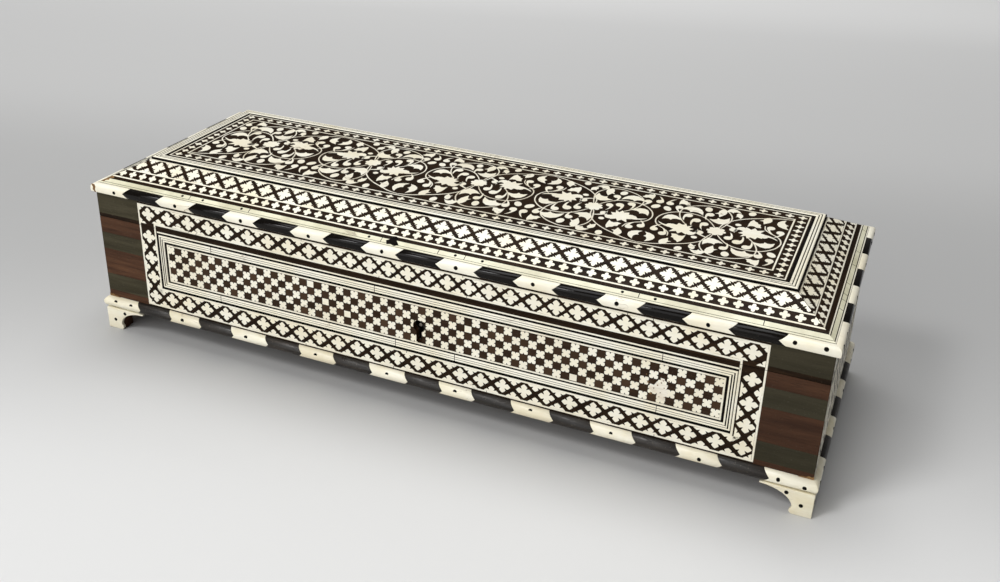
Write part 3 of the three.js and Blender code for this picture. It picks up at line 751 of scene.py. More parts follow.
panelLines = {  # how far inside the band's line, bottom and top level, width
    "bandLine": (0, 36.7, 83.4, 1.15),
    # the two black lines either side of the raised frame are real stringing, made wider by painted
    # shadow of the frame
    "outerBlack": (1.05, 37.9, 77.35, 1.35),
    "innerBlack": (6.6, 43.5, 72.05, 1.1),
    "checkLine": (7.7, 44.6, 70.7, 1.0),
}
panel = {
    "bottom": 24.0,         # the outer white line
    "top": 95.4,
    "edge": 1.05,
    "lineLow": -0.25,
    "lineHigh": 0.06,
    "blackDrop": 0.02,
    "sideWidth": 10.8,      # lozenge band up the sides
    "pitch": 13.5,
    "floret": (4.9, 4.62),
    "halfFloret": (4.65, 3.85),
    "quarter": (4.4, 3.75),
    "middleLow": 31.1,
    "middleHigh": 88.85,
    "sideLevels": (45.0, 58.6, 73.4),
    "sideClear": 0.05,      # the half florets up the sides stand this far inside the band,
    "sideLess": 0.2,        # and are this much less tall
    "topLine": (1.1, 77.5, 78.4),   # how far inside the band's line, bottom and top level
    "leftBlack": (0.4, 1.2, 0.05),  # the black line down the left: from, to, drop
    "quarterLevel": lidBottom + 1.4,
    "reedIn": 2.2,
    "reedBottom": 39.5,
    "reedTop": 76.2,
    "reeds": 3,
    "reedWidth": 4.1,
    "reedGap": 0.3,
    "groove": 0.42,
    # up the upright strips the black is widened out and in by these, and stands higher, as painted
    # shade
    "sideGroove": (0.16, 0.58),
    "reedHigh": 0.3,
    "grooveHigh": 0.1,
    "stringing": ((0.0, 0.3), (0.2, 0.5)),  # low and high, across the reeds and up them
    "checkRows": 5,
    "checkLow": 45.75,
    "checkHigh": 69.5,
    "tile": 0.67,           # half sizes of the chequers, as shares of their pitch
    "darkTile": 1.0,
    "darkDrop": 0.03,
    "plainTile": 0.86,
}
frontLayout = {
    "half": 196.0,
    "upper": (-188.4, -173.4, -158.4, -143.6, -129.4, -114.6, -100.4, -86.2, -71.9, -57.6,
              -44.6, -31.7, -19.6, -7.2, 5.5, 17.6, 30.7, 42.9, 55.7, 69.3, 82.1, 94.5, 107.5,
              120.9, 133.9, 147.2, 161.0, 174.6, 187.9),
    "lower": (-189.5, -176.8, -163.4, -149.6, -135.4, -122.1, -107.6, -93.9, -80.5, -67.6,
              -54.4, -41.4, -28.0, -14.4, -1.0, 12.6, 26.3, 39.3, 52.9, 66.1, 79.5, 93.2,
              107.1, 120.4, 133.9, 146.5, 160.3, 175.4, 189.6),
    "columns": 71,
    # the chequers drift along the panel: column number and its middle
    "drift": ((0, -173.3), (22, -62.1), (34, -3.1), (46, 55.0), (70, 173.2)),
    "ground": "ground",
    "framed": True,
    "shift": -0.7,          # the inner line of the band lies a little to the left
}


def evenly(half, count):
    return [-half + 2 * half * k / (count - 1) for k in range(count)]


endHalf = carcaseY - 0.2
endLayout = {
    "half": endHalf, "upper": evenly(endHalf - 6.5, 11), "lower": evenly(endHalf - 6.5, 11),
    "columns": 21, "drift": ((0, -endHalf + 22.4), (20, endHalf - 22.4)),
    "ground": "endGround", "framed": False, "shift": 0,
}


def columnAt(drift, number):
    return float(np.interp(number, *zip(*drift)))


def lozengeBand(places, middle, low, high):
    # whole florets along the middle, half ones between them on both edges
    whole = [(u, middle, 0, *panel["floret"]) for u in places]
    halves = []
    wide, tall = panel["halfFloret"]
    for first, second in zip(places, places[1:]):
        u, share = (first + second) / 2, (second - first) / panel["pitch"]
        halves += [(u, low, 0, wide * share, tall), (u, high, 180, wide * share, tall)]
    return whole, halves


def lineFrame(line, inner):
    inset, low, high, width = panelLines[line]
    return frameOf(inner - inset, low, high, width)


def layLines(name, matrix, half, inner, shift):
    low, high = panel["lineLow"], panel["lineHigh"]
    white = [frameOf(half, panel["bottom"], panel["top"], panel["edge"]),
             lineFrame("bandLine", inner)]
    white[1].data.transform(Matrix.Translation((shift, 0, 0)))
    for piece in white:
        thicken(piece, low, high)
    lidWhite = [sawOff(copyOf(piece), (0, lidBottom, 0), (0, 1, 0), behind=True)
                for piece in white]
    baseWhite = [sawOff(piece, (0, baseTop, 0), (0, 1, 0)) for piece in white]
    baseWhite.append(thicken(lineFrame("checkLine", inner), low, high))
    inset, *levels = panel["topLine"]
    baseWhite.append(thicken(sheet(inset - inner, inner - inset, *levels), low, high))
    lay(baseWhite, name + "BaseLines", matrix, "bone", "base")
    lay(lidWhite, name + "LidLines", matrix, "bone", "lid")
    # black lines round the raised frame: real stringing, and in part painted shadow of the frame
    start, end, drop = panel["leftBlack"]
    blackHigh = high - panel["blackDrop"]
    black = [thicken(lineFrame("outerBlack", inner), low, blackHigh),
             thicken(sheet(start - inner, end - inner, *panelLines["outerBlack"][1:3]), low,
                     high - drop),
             thicken(lineFrame("innerBlack", inner), low, blackHigh)]
    lay(black, name + "BlackLines", matrix, "dirt", "base")


def layPanel(name, matrix, layout):
    # one inlaid face: outer line, lozenge bands, black and white lines, reeds and chequers
    half = layout["half"]
    inner = half - panel["edge"] - panel["sideWidth"]
    layLines(name, matrix, half, inner, layout["shift"])
    # the lozenge bands along the bottom, along the top and up both sides
    lower = (panel["bottom"] + panel["edge"], panelLines["bandLine"][1])
    upper = (panelLines["bandLine"][2], panel["top"] - panel["edge"])
    wholeLow, halfLow = lozengeBand(layout["lower"], panel["middleLow"], *lower)
    wholeHigh, halfHigh = lozengeBand(layout["upper"], panel["middleHigh"], *upper)
    wide, tall = panel["halfFloret"]
    quarterU, quarterV = panel["quarter"]
    side = half - panel["edge"] - panel["sideWidth"] / 2
    reach = panel["sideWidth"] / 2 - panel["sideClear"]
    less = tall - panel["sideLess"]
    steps = [panel["middleLow"], *panel["sideLevels"]]
    quartersLow, quartersHigh = [], []
    for way in (-1, 1):
        wholeLow += [(way * side, v, 0, *panel["floret"]) for v in panel["sideLevels"]]
        for first, second in zip(steps, steps[1:]):
            v = (first + second) / 2
            halfLow += [(way * side - reach, v, -90, wide, less),
                        (way * side + reach, v, 90, wide, less)]
        end, size = way * (side + reach), -way * quarterU
        quartersLow.append((end, lower[0], 0, size, quarterV))
        quartersHigh += [(end, upper[1], 0, size, -quarterV),
                         (end, panel["quarterLevel"], 0, size, quarterV)]
    for kind, label, low, high in (("floret", "Florets", wholeLow, wholeHigh),
                                   ("halfFloret", "Halves", halfLow, halfHigh),
                                   ("quarter", "Quarters", quartersLow, quartersHigh)):
        stampMotifs(name + "Base" + label, kind, low, matrix, "ivory", "base")
        stampMotifs(name + "Lid" + label, kind, high, matrix, "ivory", "lid")
    layChequers(name, matrix, layout)
    if layout["framed"]:
        reedGrooves(name, matrix, inner - panel["reedIn"])
    else:
        reeds(name, matrix, inner - panel["reedIn"])


holeLevel = baseTop - 23.9
keyhole = {"radius": 3.8, "slotWidth": 3.4, "slotDrop": 10.3, "ease": 0.12, "near": (7.5, 6)}
# squares that were mended without nicks: place along the panel, and row from the bottom
plainNear = 2.6
plainSquares = ((-72.0, 4), (-48.0, 1), (-62.0, 2), (29.0, 3), (-133.0, 1), (97.0, 0))


def layChequers(name, matrix, layout):
    # ivory squares nicked on every side between squares of dark wood
    rows, dark = panel["checkRows"], layout["ground"] + "Tile"
    up = (panel["checkHigh"] - panel["checkLow"]) / rows
    drift, framed = layout["drift"], layout["framed"]
    nearU, nearV = keyhole["near"]
    tiles, squares, plains, atHole = [], [], [], {"tile": [], "square": []}
    for i in range(layout["columns"]):
        u = columnAt(drift, i)
        across = columnAt(drift, i + 1) - u if i + 1 < layout["columns"] else \
            u - columnAt(drift, i - 1)
        for j in range(rows):
            v = panel["checkLow"] + up * (j + 0.5)
            ivory = (i + j) % 2 == 0
            share = panel["tile" if ivory else "darkTile"]
            spot = (u, v, 45, across * share, up * share) if ivory else \
                (u, v, 0, across * share, up * share, -panel["darkDrop"])
            plain = any(abs(u - x) < plainNear and j == row for x, row in plainSquares)
            if framed and ivory and plain:
                plains.append((u, v, 0, across * panel["plainTile"], up * panel["plainTile"]))
            elif framed and abs(u) < nearU and v < holeLevel + nearV:
                atHole["tile" if ivory else "square"].append(spot)
            else:
                (tiles if ivory else squares).append(spot)
    stampMotifs(name + "Tiles", "tile", tiles, matrix, "ivory", "base", 0.3, 0.7)
    stampMotifs(name + "DarkTiles", "square", squares, matrix, dark, "base", 1.0, 0.5)
    if not framed:
        return
    stampMotifs(name + "PlainTiles", "square", plains, matrix, "ivory", "base", 0.3, 0.7)
    # the pieces round the keyhole are sawn away where it passes through them
    for kind, look in (("tile", "ivory"), ("square", dark)):
        piece = stampMotifs(name + kind.capitalize() + "AtKeyhole", kind, atHole[kind], Matrix(),
                            look, "base", 0.3, 0.7)
        cutHole(piece)
        piece.data.transform(matrix)


def cutHole(piece):
    drop, ease = keyhole["slotDrop"], keyhole["ease"]
    deselect()
    bpy.ops.mesh.primitive_cylinder_add(vertices=40, radius=keyhole["radius"] + ease, depth=4,
                                        location=(0, holeLevel, 0))
    cutWith(piece, bpy.context.object, itself=True)
    deselect()
    bpy.ops.mesh.primitive_cube_add(size=1, location=(0, holeLevel - drop / 2, 0))
    slit = bpy.context.object
    slit.scale = (keyhole["slotWidth"] + ease * 2, drop + 0.2, 4)
    cutWith(piece, slit, itself=True)


def reedGrooves(name, matrix, half):
    # black in the two grooves of the frame's own reeded strips: real stringing and dirt, with
    # painted shade; up the upright strips it is wider and higher, as painted shade of the deeper
    # grooves there
    step, width = panel["reedWidth"] / panel["reeds"], panel["groove"]
    out, into = panel["sideGroove"]
    across, upright = panel["stringing"]
    black = []
    for k in range(1, panel["reeds"]):
        off = step * k - width / 2
        low, high = panel["reedBottom"] + off, panel["reedTop"] - off
        black.append(thicken(frameOf(half - off, low, high, width), *across))
        for way in (-1, 1):
            edge = way * (half - off)
            ends = sorted((edge + way * out, edge - way * into))
            black.append(thicken(sheet(*ends, low, high), *upright))
    lay(black, name + "Stringing", matrix, "dirt", "base")


def reeds(name, matrix, half):
    step, gap = panel["reedWidth"] / panel["reeds"], panel["reedGap"]
    bottom = panel["lineLow"]
    white, black = [], []
    for k in range(panel["reeds"]):
        low, high = panel["reedBottom"] + step * k, panel["reedTop"] - step * k
        reach = half - step * k
        white.append(thicken(frameOf(reach, low, high, step - gap), bottom,
                             panel["reedHigh"]))
        if k:
            black.append(thicken(frameOf(reach + gap, low - gap, high + gap, gap), bottom,
                                 panel["grooveHigh"]))
    lay(white, name + "Reeds", matrix, "ivory", "base")
    lay(black, name + "ReedGrooves", matrix, "ebony", "base")


layPanel("front", frontPanel, frontLayout)
layPanel("right", wallPanel(faceX, quarter), endLayout)
layPanel("left", wallPanel(faceX, -quarter), endLayout)


print("stage: end blocks of the front")

blocks = {  # levels and look, from the moulding up, left and right of the panel
    "left": ((23.05, 27.8, "rosewood"), (27.8, 39.8, "greenWood"), (39.8, 57.8, "rosewood"),
             (57.8, 69.3, "greenWood"), (69.3, 80.35, "rosewood"), (80.75, 82.8, "ground"),
             (82.8, 97.3, "greenWood")),
    "right": ((23.05, 26.3, "rosewood"), (26.3, 38.2, "greenWood"), (38.2, 59.2, "rosewood"),
              (59.2, 71.3, "greenWood"), (71.3, 80.35, "rosewood"), (80.75, 83.3, "ground"),
              (83.3, 97.3, "greenWood")),
}
blockTone = {"left": 0.05, "right": 0.45}      # the wood at the right end has darkened more
blockGap = {"side": 0.05, "level": 0.03}
blockDepth = (-0.3, 0.04)


def endBlocks():
    for side, way in (("left", -1), ("right", 1)):
        ends = sorted((way * (frontLayout["half"] + blockGap["side"]),
                       way * (faceX - blockGap["side"])))
        sets = {}
        for low, high, look in blocks[side]:
            piece = sheet(*ends, low + blockGap["level"], high - blockGap["level"])
            thicken(piece, *blockDepth)
            sets.setdefault((look, "base" if high < lidBottom else "lid"), []).append(piece)
        for (look, body), pieces in sets.items():
            wood = lay(pieces, f"{side}End{look.capitalize()}{body.capitalize()}", frontPanel,
                       look, body)
            giveShade(wood, blockTone[side])


endBlocks()


print("stage: the lid's canted sides")

# distances up the slope from the carcase face: from, to, look and lift
slopeLines = {
    "plain": ((0.15, 1.25, "fillet", 0.10), (1.3, 1.5, "dirt", 0.05),
              (1.55, 4.45, "fillet", 0.12), (4.5, 4.9, "dirt", 0.05), (6.95, 7.9, "bone", 0.07),
              (13.95, 14.85, "bone", 0.07), (25.7, 26.7, "bone", 0.07)),
    "ended": ((0.1, 0.75, "bone", 0.07), (0.8, 1.25, "ebony", 0.05),
              (1.3, 3.7, "fillet", 0.12), (3.75, 4.2, "ebony", 0.05),
              (4.25, 4.95, "bone", 0.07), (7.8, 8.6, "bone", 0.07),
              (14.1, 14.75, "bone", 0.07), (25.2, 25.8, "bone", 0.07)),
}
slopeBands = {
    "cross": {"up": 10.95, "size": (2.7, 2.6),
              "front": ((0, -214.2), (13, -115.8), (21, -56.9), (37, 57.3), (44, 113.2),
                        (57, 214.7)),
              "end": ((0, -66.0), (16, 58.5), (17, 66.2))},
    "floret": {"up": 20.4, "low": 14.85, "high": 25.7, "size": (4.85, 4.7),
               "half": (4.6, 3.7), "endPitch": 14.2},
}
slopeFlorets = (-193.2, -179.7, -166.6, -153.5, -139.8, -126.6, -113.5, -100.4, -87.3, -74.2,
                -61.2, -48.1, -34.6, -21.5, -8.6, 4.6, 17.7, 30.4, 43.5, 56.5, 69.7, 82.9,
                96.1, 109.4, 122.6, 136.5, 148.8, 160.8, 172.8, 184.7, 196.2)
slopeLow = -0.2
mitreGap = 0.25


def mitredStrip(half, low, high):
    # a strip across the slope, its ends cut on the mitres of the lid's corners
    piece = sheet(-half, half, low, high)
    for v in (low, high):
        resizeSome(piece, lambda k, co: abs(co.y - v) < 1e-4,
                   ((half - v * math.cos(cantAngle)) / half, 1, 1))
    return piece


def cutMitres(piece, half):
    # saw off what reaches past the mitres at both ends of a slope
    for way in (-1, 1):
        sawOff(piece, (way * (half - mitreGap), 0, 0), (way, math.cos(cantAngle), 0))


def layCant(name, angle, half, face):
    matrix = cantPanel(angle, face)
    long = name in ("front", "back")
    sets = {}
    for low, high, look, lift in slopeLines["plain" if long else "ended"]:
        piece = thicken(mitredStrip(half, low, high), slopeLow, lift)
        sets.setdefault(look, []).append(piece)
    for look, pieces in sets.items():
        lay(pieces, name + "Cant" + look.capitalize(), matrix, look, "lid")
    spec = slopeBands["cross"]
    drift = spec["front" if long else "end"]
    crosses = [(columnAt(drift, k), spec["up"], 0, *spec["size"])
               for k in range(drift[-1][0] + 1)]
    spec = slopeBands["floret"]
    places = list(slopeFlorets) if long else [spec["endPitch"] * k for k in range(-3, 4)]
    pitch = places[1] - places[0]
    # one more floret and two more halves at each end, for the mitre to cut through
    places = [places[0] - pitch, *places, places[-1] + pitch]
    whole = [(u, spec["up"], 0, *spec["size"]) for u in places]
    halves = []
    for first, second in zip([places[0] - pitch, *places], [*places, places[-1] + pitch]):
        u = (first + second) / 2
        halves += [(u, spec["low"], 0, *spec["half"]), (u, spec["high"], 180, *spec["half"])]
    for label, kind, spots, spread in (("Crosses", "cross", crosses, 0.5),
                                       ("Florets", "eightLobe", whole, 0.35),
                                       ("Halves", "halfEight", halves, 0.35)):
        piece = stampMotifs(name + "Cant" + label, kind, spots, Matrix(), "ivory", "lid", spread)
        cutMitres(piece, half)
        piece.data.transform(matrix)


for name, (angle, half, face) in sides.items():
    layCant(name, angle, half, face)


print("stage: the lid's field")

topX, topY = cantEnd, cantEnd - rimX + rimY     # half sizes of the lid's flat top
field = {
    "halfX": 186.0,
    "halfY": 35.5,
    "lineLow": -0.2,
    "lineHigh": 0.06,
    "clear": 0.1,               # between the raised frame and the line inside it
    "blackLine": (1.5, 0.05),   # width and lift of the line inside the raised frame
    "whiteIn": 7.2,             # from the frame's outside to the first white line
    "whiteWidth": 0.8,
    "fieldLine": 0.9,
    "starIn": 11.4,
    "starPitch": (7.59, 6.5),
    "starSize": (2.6, 2.5),
    "rosette": (5.5, 5.4),
    "module": 75.0,
    "stem": 0.40,
    "stemEnd": 0.7,         # how thick a stem still is at its ends
    "stemFlat": 0.22,
    "fuller": 1.06,         # how much fuller the leaves are than drawn
    "commaTall": 3.4,       # from the middle of a comma's head to its tip, as drawn
    "commaTurn": (78, 102),
    "leastComma": 2.25,
    "lift": 0.008,
}
# how far the maker's layout drifts from true: place along the field, and how far the pieces
# there lie to the right and to the back
fieldDrift = ((-190, 1.2, 0.8), (-148, 1.6, 1.4), (-73, 2.1, 2.9), (0, 0.5, 3.1), (75, 0.3, 1.2),
              (150, -1.5, -1.0), (190, -1.3, -0.6))
# Half a module of the scrolling stems, from a rosette at the origin to the next module's
# mirror line: points that each stem passes through
stems = (
    ((1.6, -4.2), (5.0, -9.6), (10.5, -15.2), (18.5, -17.3), (26.5, -16.0), (32.6, -11.0),
     (35.6, -4.6), (35.8, 1.4), (33.4, 6.6), (28.4, 10.6), (25.0, 14.4), (24.0, 19.0)),
    ((17.2, 0.2), (21.4, -5.0), (24.4, -11.0), (25.6, -17.0), (24.6, -23.4), (20.2, -28.6),
     (14.0, -31.8), (7.4, -33.2), (1.6, -31.2), (-2.8, -26.4), (-4.8, -19.6), (-3.6, -11.4),
     (-1.6, -4.6)),
    ((0.6, 5.0), (1.6, 10.6), (4.4, 16.2), (8.6, 21.2), (14.4, 25.6), (22.0, 29.4),
     (31.0, 33.2), (37.4, 34.4)),
)
# What grows on them: motif, across, up, turn, half length, half width
growth = (
    ("palmette", 18.6, 5.8, 4, 6.2, 6.5),
    ("wing", 28.3, -6.2, 20, 5.5, 5.6), ("wing", 18.6, -22.4, -9, 6.6, 6.0),
    ("wing", 0.8, -15.0, 24, 5.6, -6.2), ("wing", 33.2, 25.0, -72, 5.8, 4.6),
    ("drop", 2.4, -25.8, -3, 5.4, 5.8), ("half", 27.2, -31.0, 190, 4.2, 4.2),
    ("half", 17.4, 19.2, 4, 4.6, 5.2), ("drop", 23.6, 26.4, 168, 5.4, 4.8),
    ("drop", 8.0, 26.2, 200, 4.2, 3.6), ("wing", 3.2, 31.4, 200, 3.9, 4.4),
    ("bud", 10.8, -27.6, -80, 3.0, 2.1), ("bud", 14.2, 32.4, 80, 2.6, 2.0),
    ("bud", 33.8, -17.6, -58, 3.1, 2.1), ("bud", 9.6, 13.9, 0, 1.7, 1.6),
)
# and the commas: head, tip of the tail, and the side of the head that the tail leaves from
commas = (
    (8.4, 6.0, 3.4, 10.6, 1), (8.1, -6.2, 8.3, 0.6, 1), (13.6, -9.2, 15.4, -0.8, 1),
    (19.6, -13.8, 21.2, -5.8, 1), (8.2, -20.7, 9.4, -13.2, 1), (25.9, 4.6, 34.0, 2.6, -1),
    (27.6, 17.4, 28.8, 10.6, 1), (33.4, 13.4, 31.6, 7.0, -1), (34.2, -25.4, 32.6, -32.6, -1),
    (27.8, -22.6, 26.0, -16.4, 1), (13.0, 9.8, 10.4, 4.4, 1),
)


def halfModules():
    # place, mirror across and turn upside down of each half module that fits the field
    module = field["module"]
    count = int(field["halfX"] // module)
    for k in range(-count - 1, count + 1):
        flip = 1 if k % 2 == 0 else -1
        if k >= -count:
            yield k * module, 1, flip
        if k < count:
            yield (k + 1) * module, -1, flip


def letDrift(piece):
    # move the pieces as the layout drifts, less and less towards the field's long edges
    co = np.array([v.co[:] for v in piece.data.vertices])
    along = [row[0] for row in fieldDrift]
    fade = 1 - (co[:, 1] / (field["halfY"] + 0.5)) ** 2
    co[:, 0] += np.interp(co[:, 0], along, [row[1] for row in fieldDrift])
    co[:, 1] += np.interp(co[:, 0], along, [row[2] for row in fieldDrift]) * fade
    piece.data.vertices.foreach_set("co", co.ravel())
    piece.data.transform(fieldPanel)
    piece.data.update()


def stemMotif():
    # the stems of one half module, bent as thin strips and pressed flat
    curve = bpy.data.curves.new("stems", "CURVE")
    curve.dimensions = "3D"
    curve.resolution_u = 5
    curve.bevel_depth = field["stem"]
    curve.bevel_resolution = 0
    curve.use_fill_caps = True
    for stem in stems:
        spline = curve.splines.new("BEZIER")
        spline.bezier_points.add(len(stem) - 1)
        for k, (point, (u, v)) in enumerate(zip(spline.bezier_points, stem)):
            point.co = (u, v, 0)
            point.handle_left_type = point.handle_right_type = "AUTO"
            point.radius = field["stemEnd"] if k in (0, len(stem) - 1) else 1.0
    piece = bpy.data.objects.new("stems", curve)
    bpy.context.scene.collection.objects.link(piece)
    only(piece)
    bpy.ops.object.convert(target="MESH")
    with editing(piece):
        bpy.ops.transform.resize(value=(1, 1, field["stemFlat"]))
    return piece


def topFrame(inset, width):
    # a picture frame this far inside the edges of the lid's flat top
    return frameOf(topX - inset, inset - topY, topY - inset, width)


def layFieldLines():
    width, lift = field["blackLine"]
    low, line = field["lineLow"], field["fieldLine"]
    black = thicken(topFrame(frameWidth + field["clear"], width), low, lift)
    lay([black], "fieldBlackLine", fieldPanel, "dirt", "lid")
    reachX, reachY = field["halfX"] + line, field["halfY"] + line
    white = [topFrame(field["whiteIn"], field["whiteWidth"]),
             frameOf(reachX, -reachY, reachY, line)]
    lay([thicken(piece, low, field["lineHigh"]) for piece in white], "fieldWhiteLines",
        fieldPanel, "bone", "lid")


def layStars():
    # small stars in a row round the field
    reachX, reachY = topX - field["starIn"], topY - field["starIn"]
    pitchX, pitchY = field["starPitch"]
    spots = []
    for u in evenly(reachX, round(2 * reachX / pitchX) + 1):
        spots += [(u, way * reachY, 0, *field["starSize"]) for way in (-1, 1)]
    for v in evenly(reachY, round(2 * reachY / pitchY) + 1)[1:-1]:
        spots += [(way * reachX, v, 0, *field["starSize"]) for way in (-1, 1)]
    stampMotifs("fieldStars", "star", spots, fieldPanel, "ivory", "lid", 0.45)


def sprigsOf():
    # everything that grows on one half module
    full = field["fuller"]
    sprigs = [(kind, u, v, turn, length * full, width * full)
              for kind, u, v, turn, length, width in growth]
    for u, v, tipU, tipV, side in commas:
        length = math.hypot(tipU - u, tipV - v) / field["commaTall"]
        length = max(length, field["leastComma"])
        turn = math.degrees(math.atan2(tipV - v, tipU - u)) - field["commaTurn"][side < 0]
        sprigs.append(("comma", u, v, turn, side * length, length))
    return sprigs


def layGrowth():
    # rosettes on the centre line, and the growth and stems of every half module
    module = field["module"]
    count = int(field["halfX"] // module)
    roses = [(k * module, 0, 0, *field["rosette"]) for k in range(-count, count + 1)]
    letDrift(stampMotifs("fieldRosettes", "rosette", roses, Matrix(), "ivory", "lid", 0.2))
    sprigs, places = sprigsOf(), {}
    for origin, mirror, flip in halfModules():
        for kind, u, v, turn, length, width in sprigs:
            # a mirrored piece is the same piece turned the other way, sawn from its back
            spot = (origin + mirror * u, flip * v, turn * mirror * flip, length * mirror,
                    width * flip)
            places.setdefault(kind, []).append(spot)
    for k, (kind, found) in enumerate(places.items()):
        # each kind stands a hair higher than the last, so that no two tops lie in one plane
        raised = [(*spot, field["lift"] * k) for spot in found]
        letDrift(stampMotifs("field" + kind.capitalize(), kind, raised, Matrix(), "ivory", "lid",
                             0.3))
    motifs["stems"] = stemMotif()
    spots = [(origin, 0, 0, mirror, flip) for origin, mirror, flip in halfModules()]
    letDrift(stampMotifs("fieldStems", "stems", spots, Matrix(), "bone", "lid", 0.6, 0.0))


layFieldLines()
layStars()
layGrowth()


print("stage: arrow-jointed mouldings")

moulding = {
    "corner": 27.5,
    "block": 23.5,
    "ivoryShare": 0.96,
    "arrow": 4.0,
    "joint": 0.05,
    "bevel": 0.14,
    "back": 0.05,           # how far the blocks stand clear of the boards behind them
    "baseSteps": 12,
    "peg": 1.15,
    "pegProud": 0.05,
    "pegUp": 0.2,
    "shrink": 0.13,         # the mouldings stand back by this, so that the pegs can stand proud
    "cornerPegs": (7.5, 21.0),
    # which way the arrows point along each side, on the base and on the rim
    "ways": {"front": (1, -1), "back": (1, -1), "right": (1, 1), "left": (-1, -1)},
    "look": {"base": {"ebony": "dullEbony", "ivory": "oldIvory"},
             "lid": {"ebony": "ebony", "ivory": "ivory"}},
}
rimShares = ((0.78, 0.0), (0.96, 0.09), (1.0, 0.25), (1.0, 0.5), (0.97, 0.64), (0.88, 0.78),
             (0.61, 0.91), (0.32, 0.96))
# where one block meets the next along the rails that can be seen
joints = {
    "rimFront": (-203.1, -177.6, -153.4, -128.6, -106.9, -81.1, -59.0, -33.9, -12.1, 13.1, 36.2,
                 59.4, 81.7, 106.8, 128.5, 152.7, 176.3, 201.4),
    "baseFront": (-203.0, -178.0, -155.0, -130.5, -105.0, -80.7, -56.5, -31.6, -7.9, 14.6, 35.4,
                  60.0, 83.5, 107.5, 131.5, 156.2, 179.0, 203.9),
    "rimRight": (-49.0, -27.0, -5.5, 16.5, 38.0, 61.5),
}
pegs = {
    "rimFront": ((-211.3, 99.8), (-164.9, 100.1), (-117.2, 100.0),
                 (-70.4, 99.9), (-22.3, 100.5), (23.7, 100.5), (69.1, 100.9), (115.9, 100.6),
                 (164.2, 100.1), (207.3, 100.9), (222.4, 101.1)),
    "baseFront": ((-221.1, 20.5), (-208.9, 20.4), (-167.9, 20.0), (-119.6, 20.1),
                  (-69.2, 20.5), (-20.1, 20.4), (24.4, 20.7), (71.2, 21.2), (119.0, 20.4),
                  (168.5, 19.1), (210.3, 19.6), (224.0, 18.7)),
}


def jointPlaces(reach):
    span = (reach - moulding["corner"]) * 2
    pairs = round((span / moulding["block"] - 1) / 2)
    ivory = span / (pairs * 2 + 1) * moulding["ivoryShare"]
    ebony = (span - ivory * pairs) / (pairs + 1)
    places = [-span / 2]
    for _ in range(pairs):
        places += [places[-1] + ebony, places[-1] + ebony + ivory]
    return [*places, span / 2]


def rimSection(low, high, reach):
    outer = [(reach * out, low + (high - low) * up) for out, up in rimShares]
    return [(moulding["back"], low), *outer, (moulding["back"], high)]


def halfRound(low, high, reach):
    steps, middle, back = moulding["baseSteps"], (low + high) / 2, moulding["back"]
    section = []
    for k in range(steps + 1):
        angle = -math.pi / 2 + math.pi * k / steps
        section.append((back + (reach - back) * math.cos(angle),
                        middle + (high - low) / 2 * math.sin(angle)))
    return section


def reachAt(section, level):
    # how far the moulding stands out at a level
    found = [out0 + (out1 - out0) * (level - low) / (high - low)
             for (out0, low), (out1, high) in zip(section, section[1:]) if low <= level <= high
             and high > low]
    return max(found)


def mouldBlock(name, section, start, end, startWay, endWay, face, half):
    # one block: the section as a blank, drawn out along the rail, and its ends cut to arrows
    # or, where the way is None, to the mitre of the corner
    block = roundBlank(name, len(section))
    for vert, (out, level) in zip(block.data.vertices, section):
        vert.co = (start, -(face + out), level)
    with editing(block):
        bpy.ops.mesh.extrude_region_move(TRANSFORM_OT_translate={"value": (end - start, 0, 0)})
    low, high = section[0][1], section[-1][1]
    middle = (low + high) / 2
    for vert in block.data.vertices:
        atEnd = abs(vert.co.x - end) < 1e-3
        way = endWay if atEnd else startWay
        if way is None:
            out = -vert.co.y - face
            vert.co.x = math.copysign(half + out - moulding["back"], vert.co.x)
        else:
            share = 0.5 - abs(vert.co.z - middle) / (high - low) * 2
            vert.co.x += way * moulding["arrow"] * share
            vert.co.x += -moulding["joint"] if atEnd else moulding["joint"]
    recalculate(block)
    roundEdges(block, moulding["bevel"])
    giveShade(block, dice.random() ** 2 * 0.35)
    smooth(block)
    return block


def layPegs(name, spots, angle, face, section, body):
    # wooden pegs, cut off almost flush with the moulding
    size = moulding["peg"]
    placed = [(u, level, dice.uniform(0, 90), size * dice.uniform(0.9, 1.1),
               size * dice.uniform(0.9, 1.1), reachAt(section, level) + moulding["pegProud"])
              for u, level in spots]
    stampMotifs(name, "bud", placed, wallPanel(face, angle), "dirt", body, 0.3, 0.0)


def layRail(prefix, side, section, reach, way, body):
    # one side of a moulding; one that can't be seen takes the joints of the side across
    angle, half, face = sides[side]
    key = prefix + side.capitalize()
    twin = prefix + {"left": "Right", "back": "Front"}.get(side, "")
    if key in joints:
        places = joints[key]
    elif twin in joints:
        places = sorted(-u for u in joints[twin])
    else:
        places = jointPlaces(half + reach)
    ends = [-(half + reach), *places, half + reach]
    last = len(ends) - 2
    made = {"ivory": [], "ebony": []}
    level = (section[0][1] + section[-1][1]) / 2
    spots = []
    for k, (start, end) in enumerate(zip(ends, ends[1:])):
        look = "ivory" if k % 2 == 0 else "ebony"
        made[look].append(mouldBlock(f"{prefix}{side}{k}", section, start, end,
                                     None if k == 0 else way, None if k == last else way,
                                     face, half))
        if k in (0, last):
            outward = -1 if k == 0 else 1
            spots += [(outward * (half + reach - inward), level + moulding["pegUp"])
                      for inward in moulding["cornerPegs"]]
        elif look == "ivory":
            spots.append(((start + end) / 2 + dice.uniform(-1.5, 1.5),
                          level + dice.uniform(-0.3, 0.6)))
    for look, parts in made.items():
        rail = joinPieces(parts, key + look.capitalize())
        rail.data.transform(Matrix.Rotation(angle, 4, "Z") @ Matrix.Scale(mm, 4))
        handIn(rail, moulding["look"][body][look], body,
               [f"{prefix}_moulding_{side}"] if look == "ivory" else ())
    layPegs(key + "Pegs", pegs.get(key, spots), angle, face, section, body)


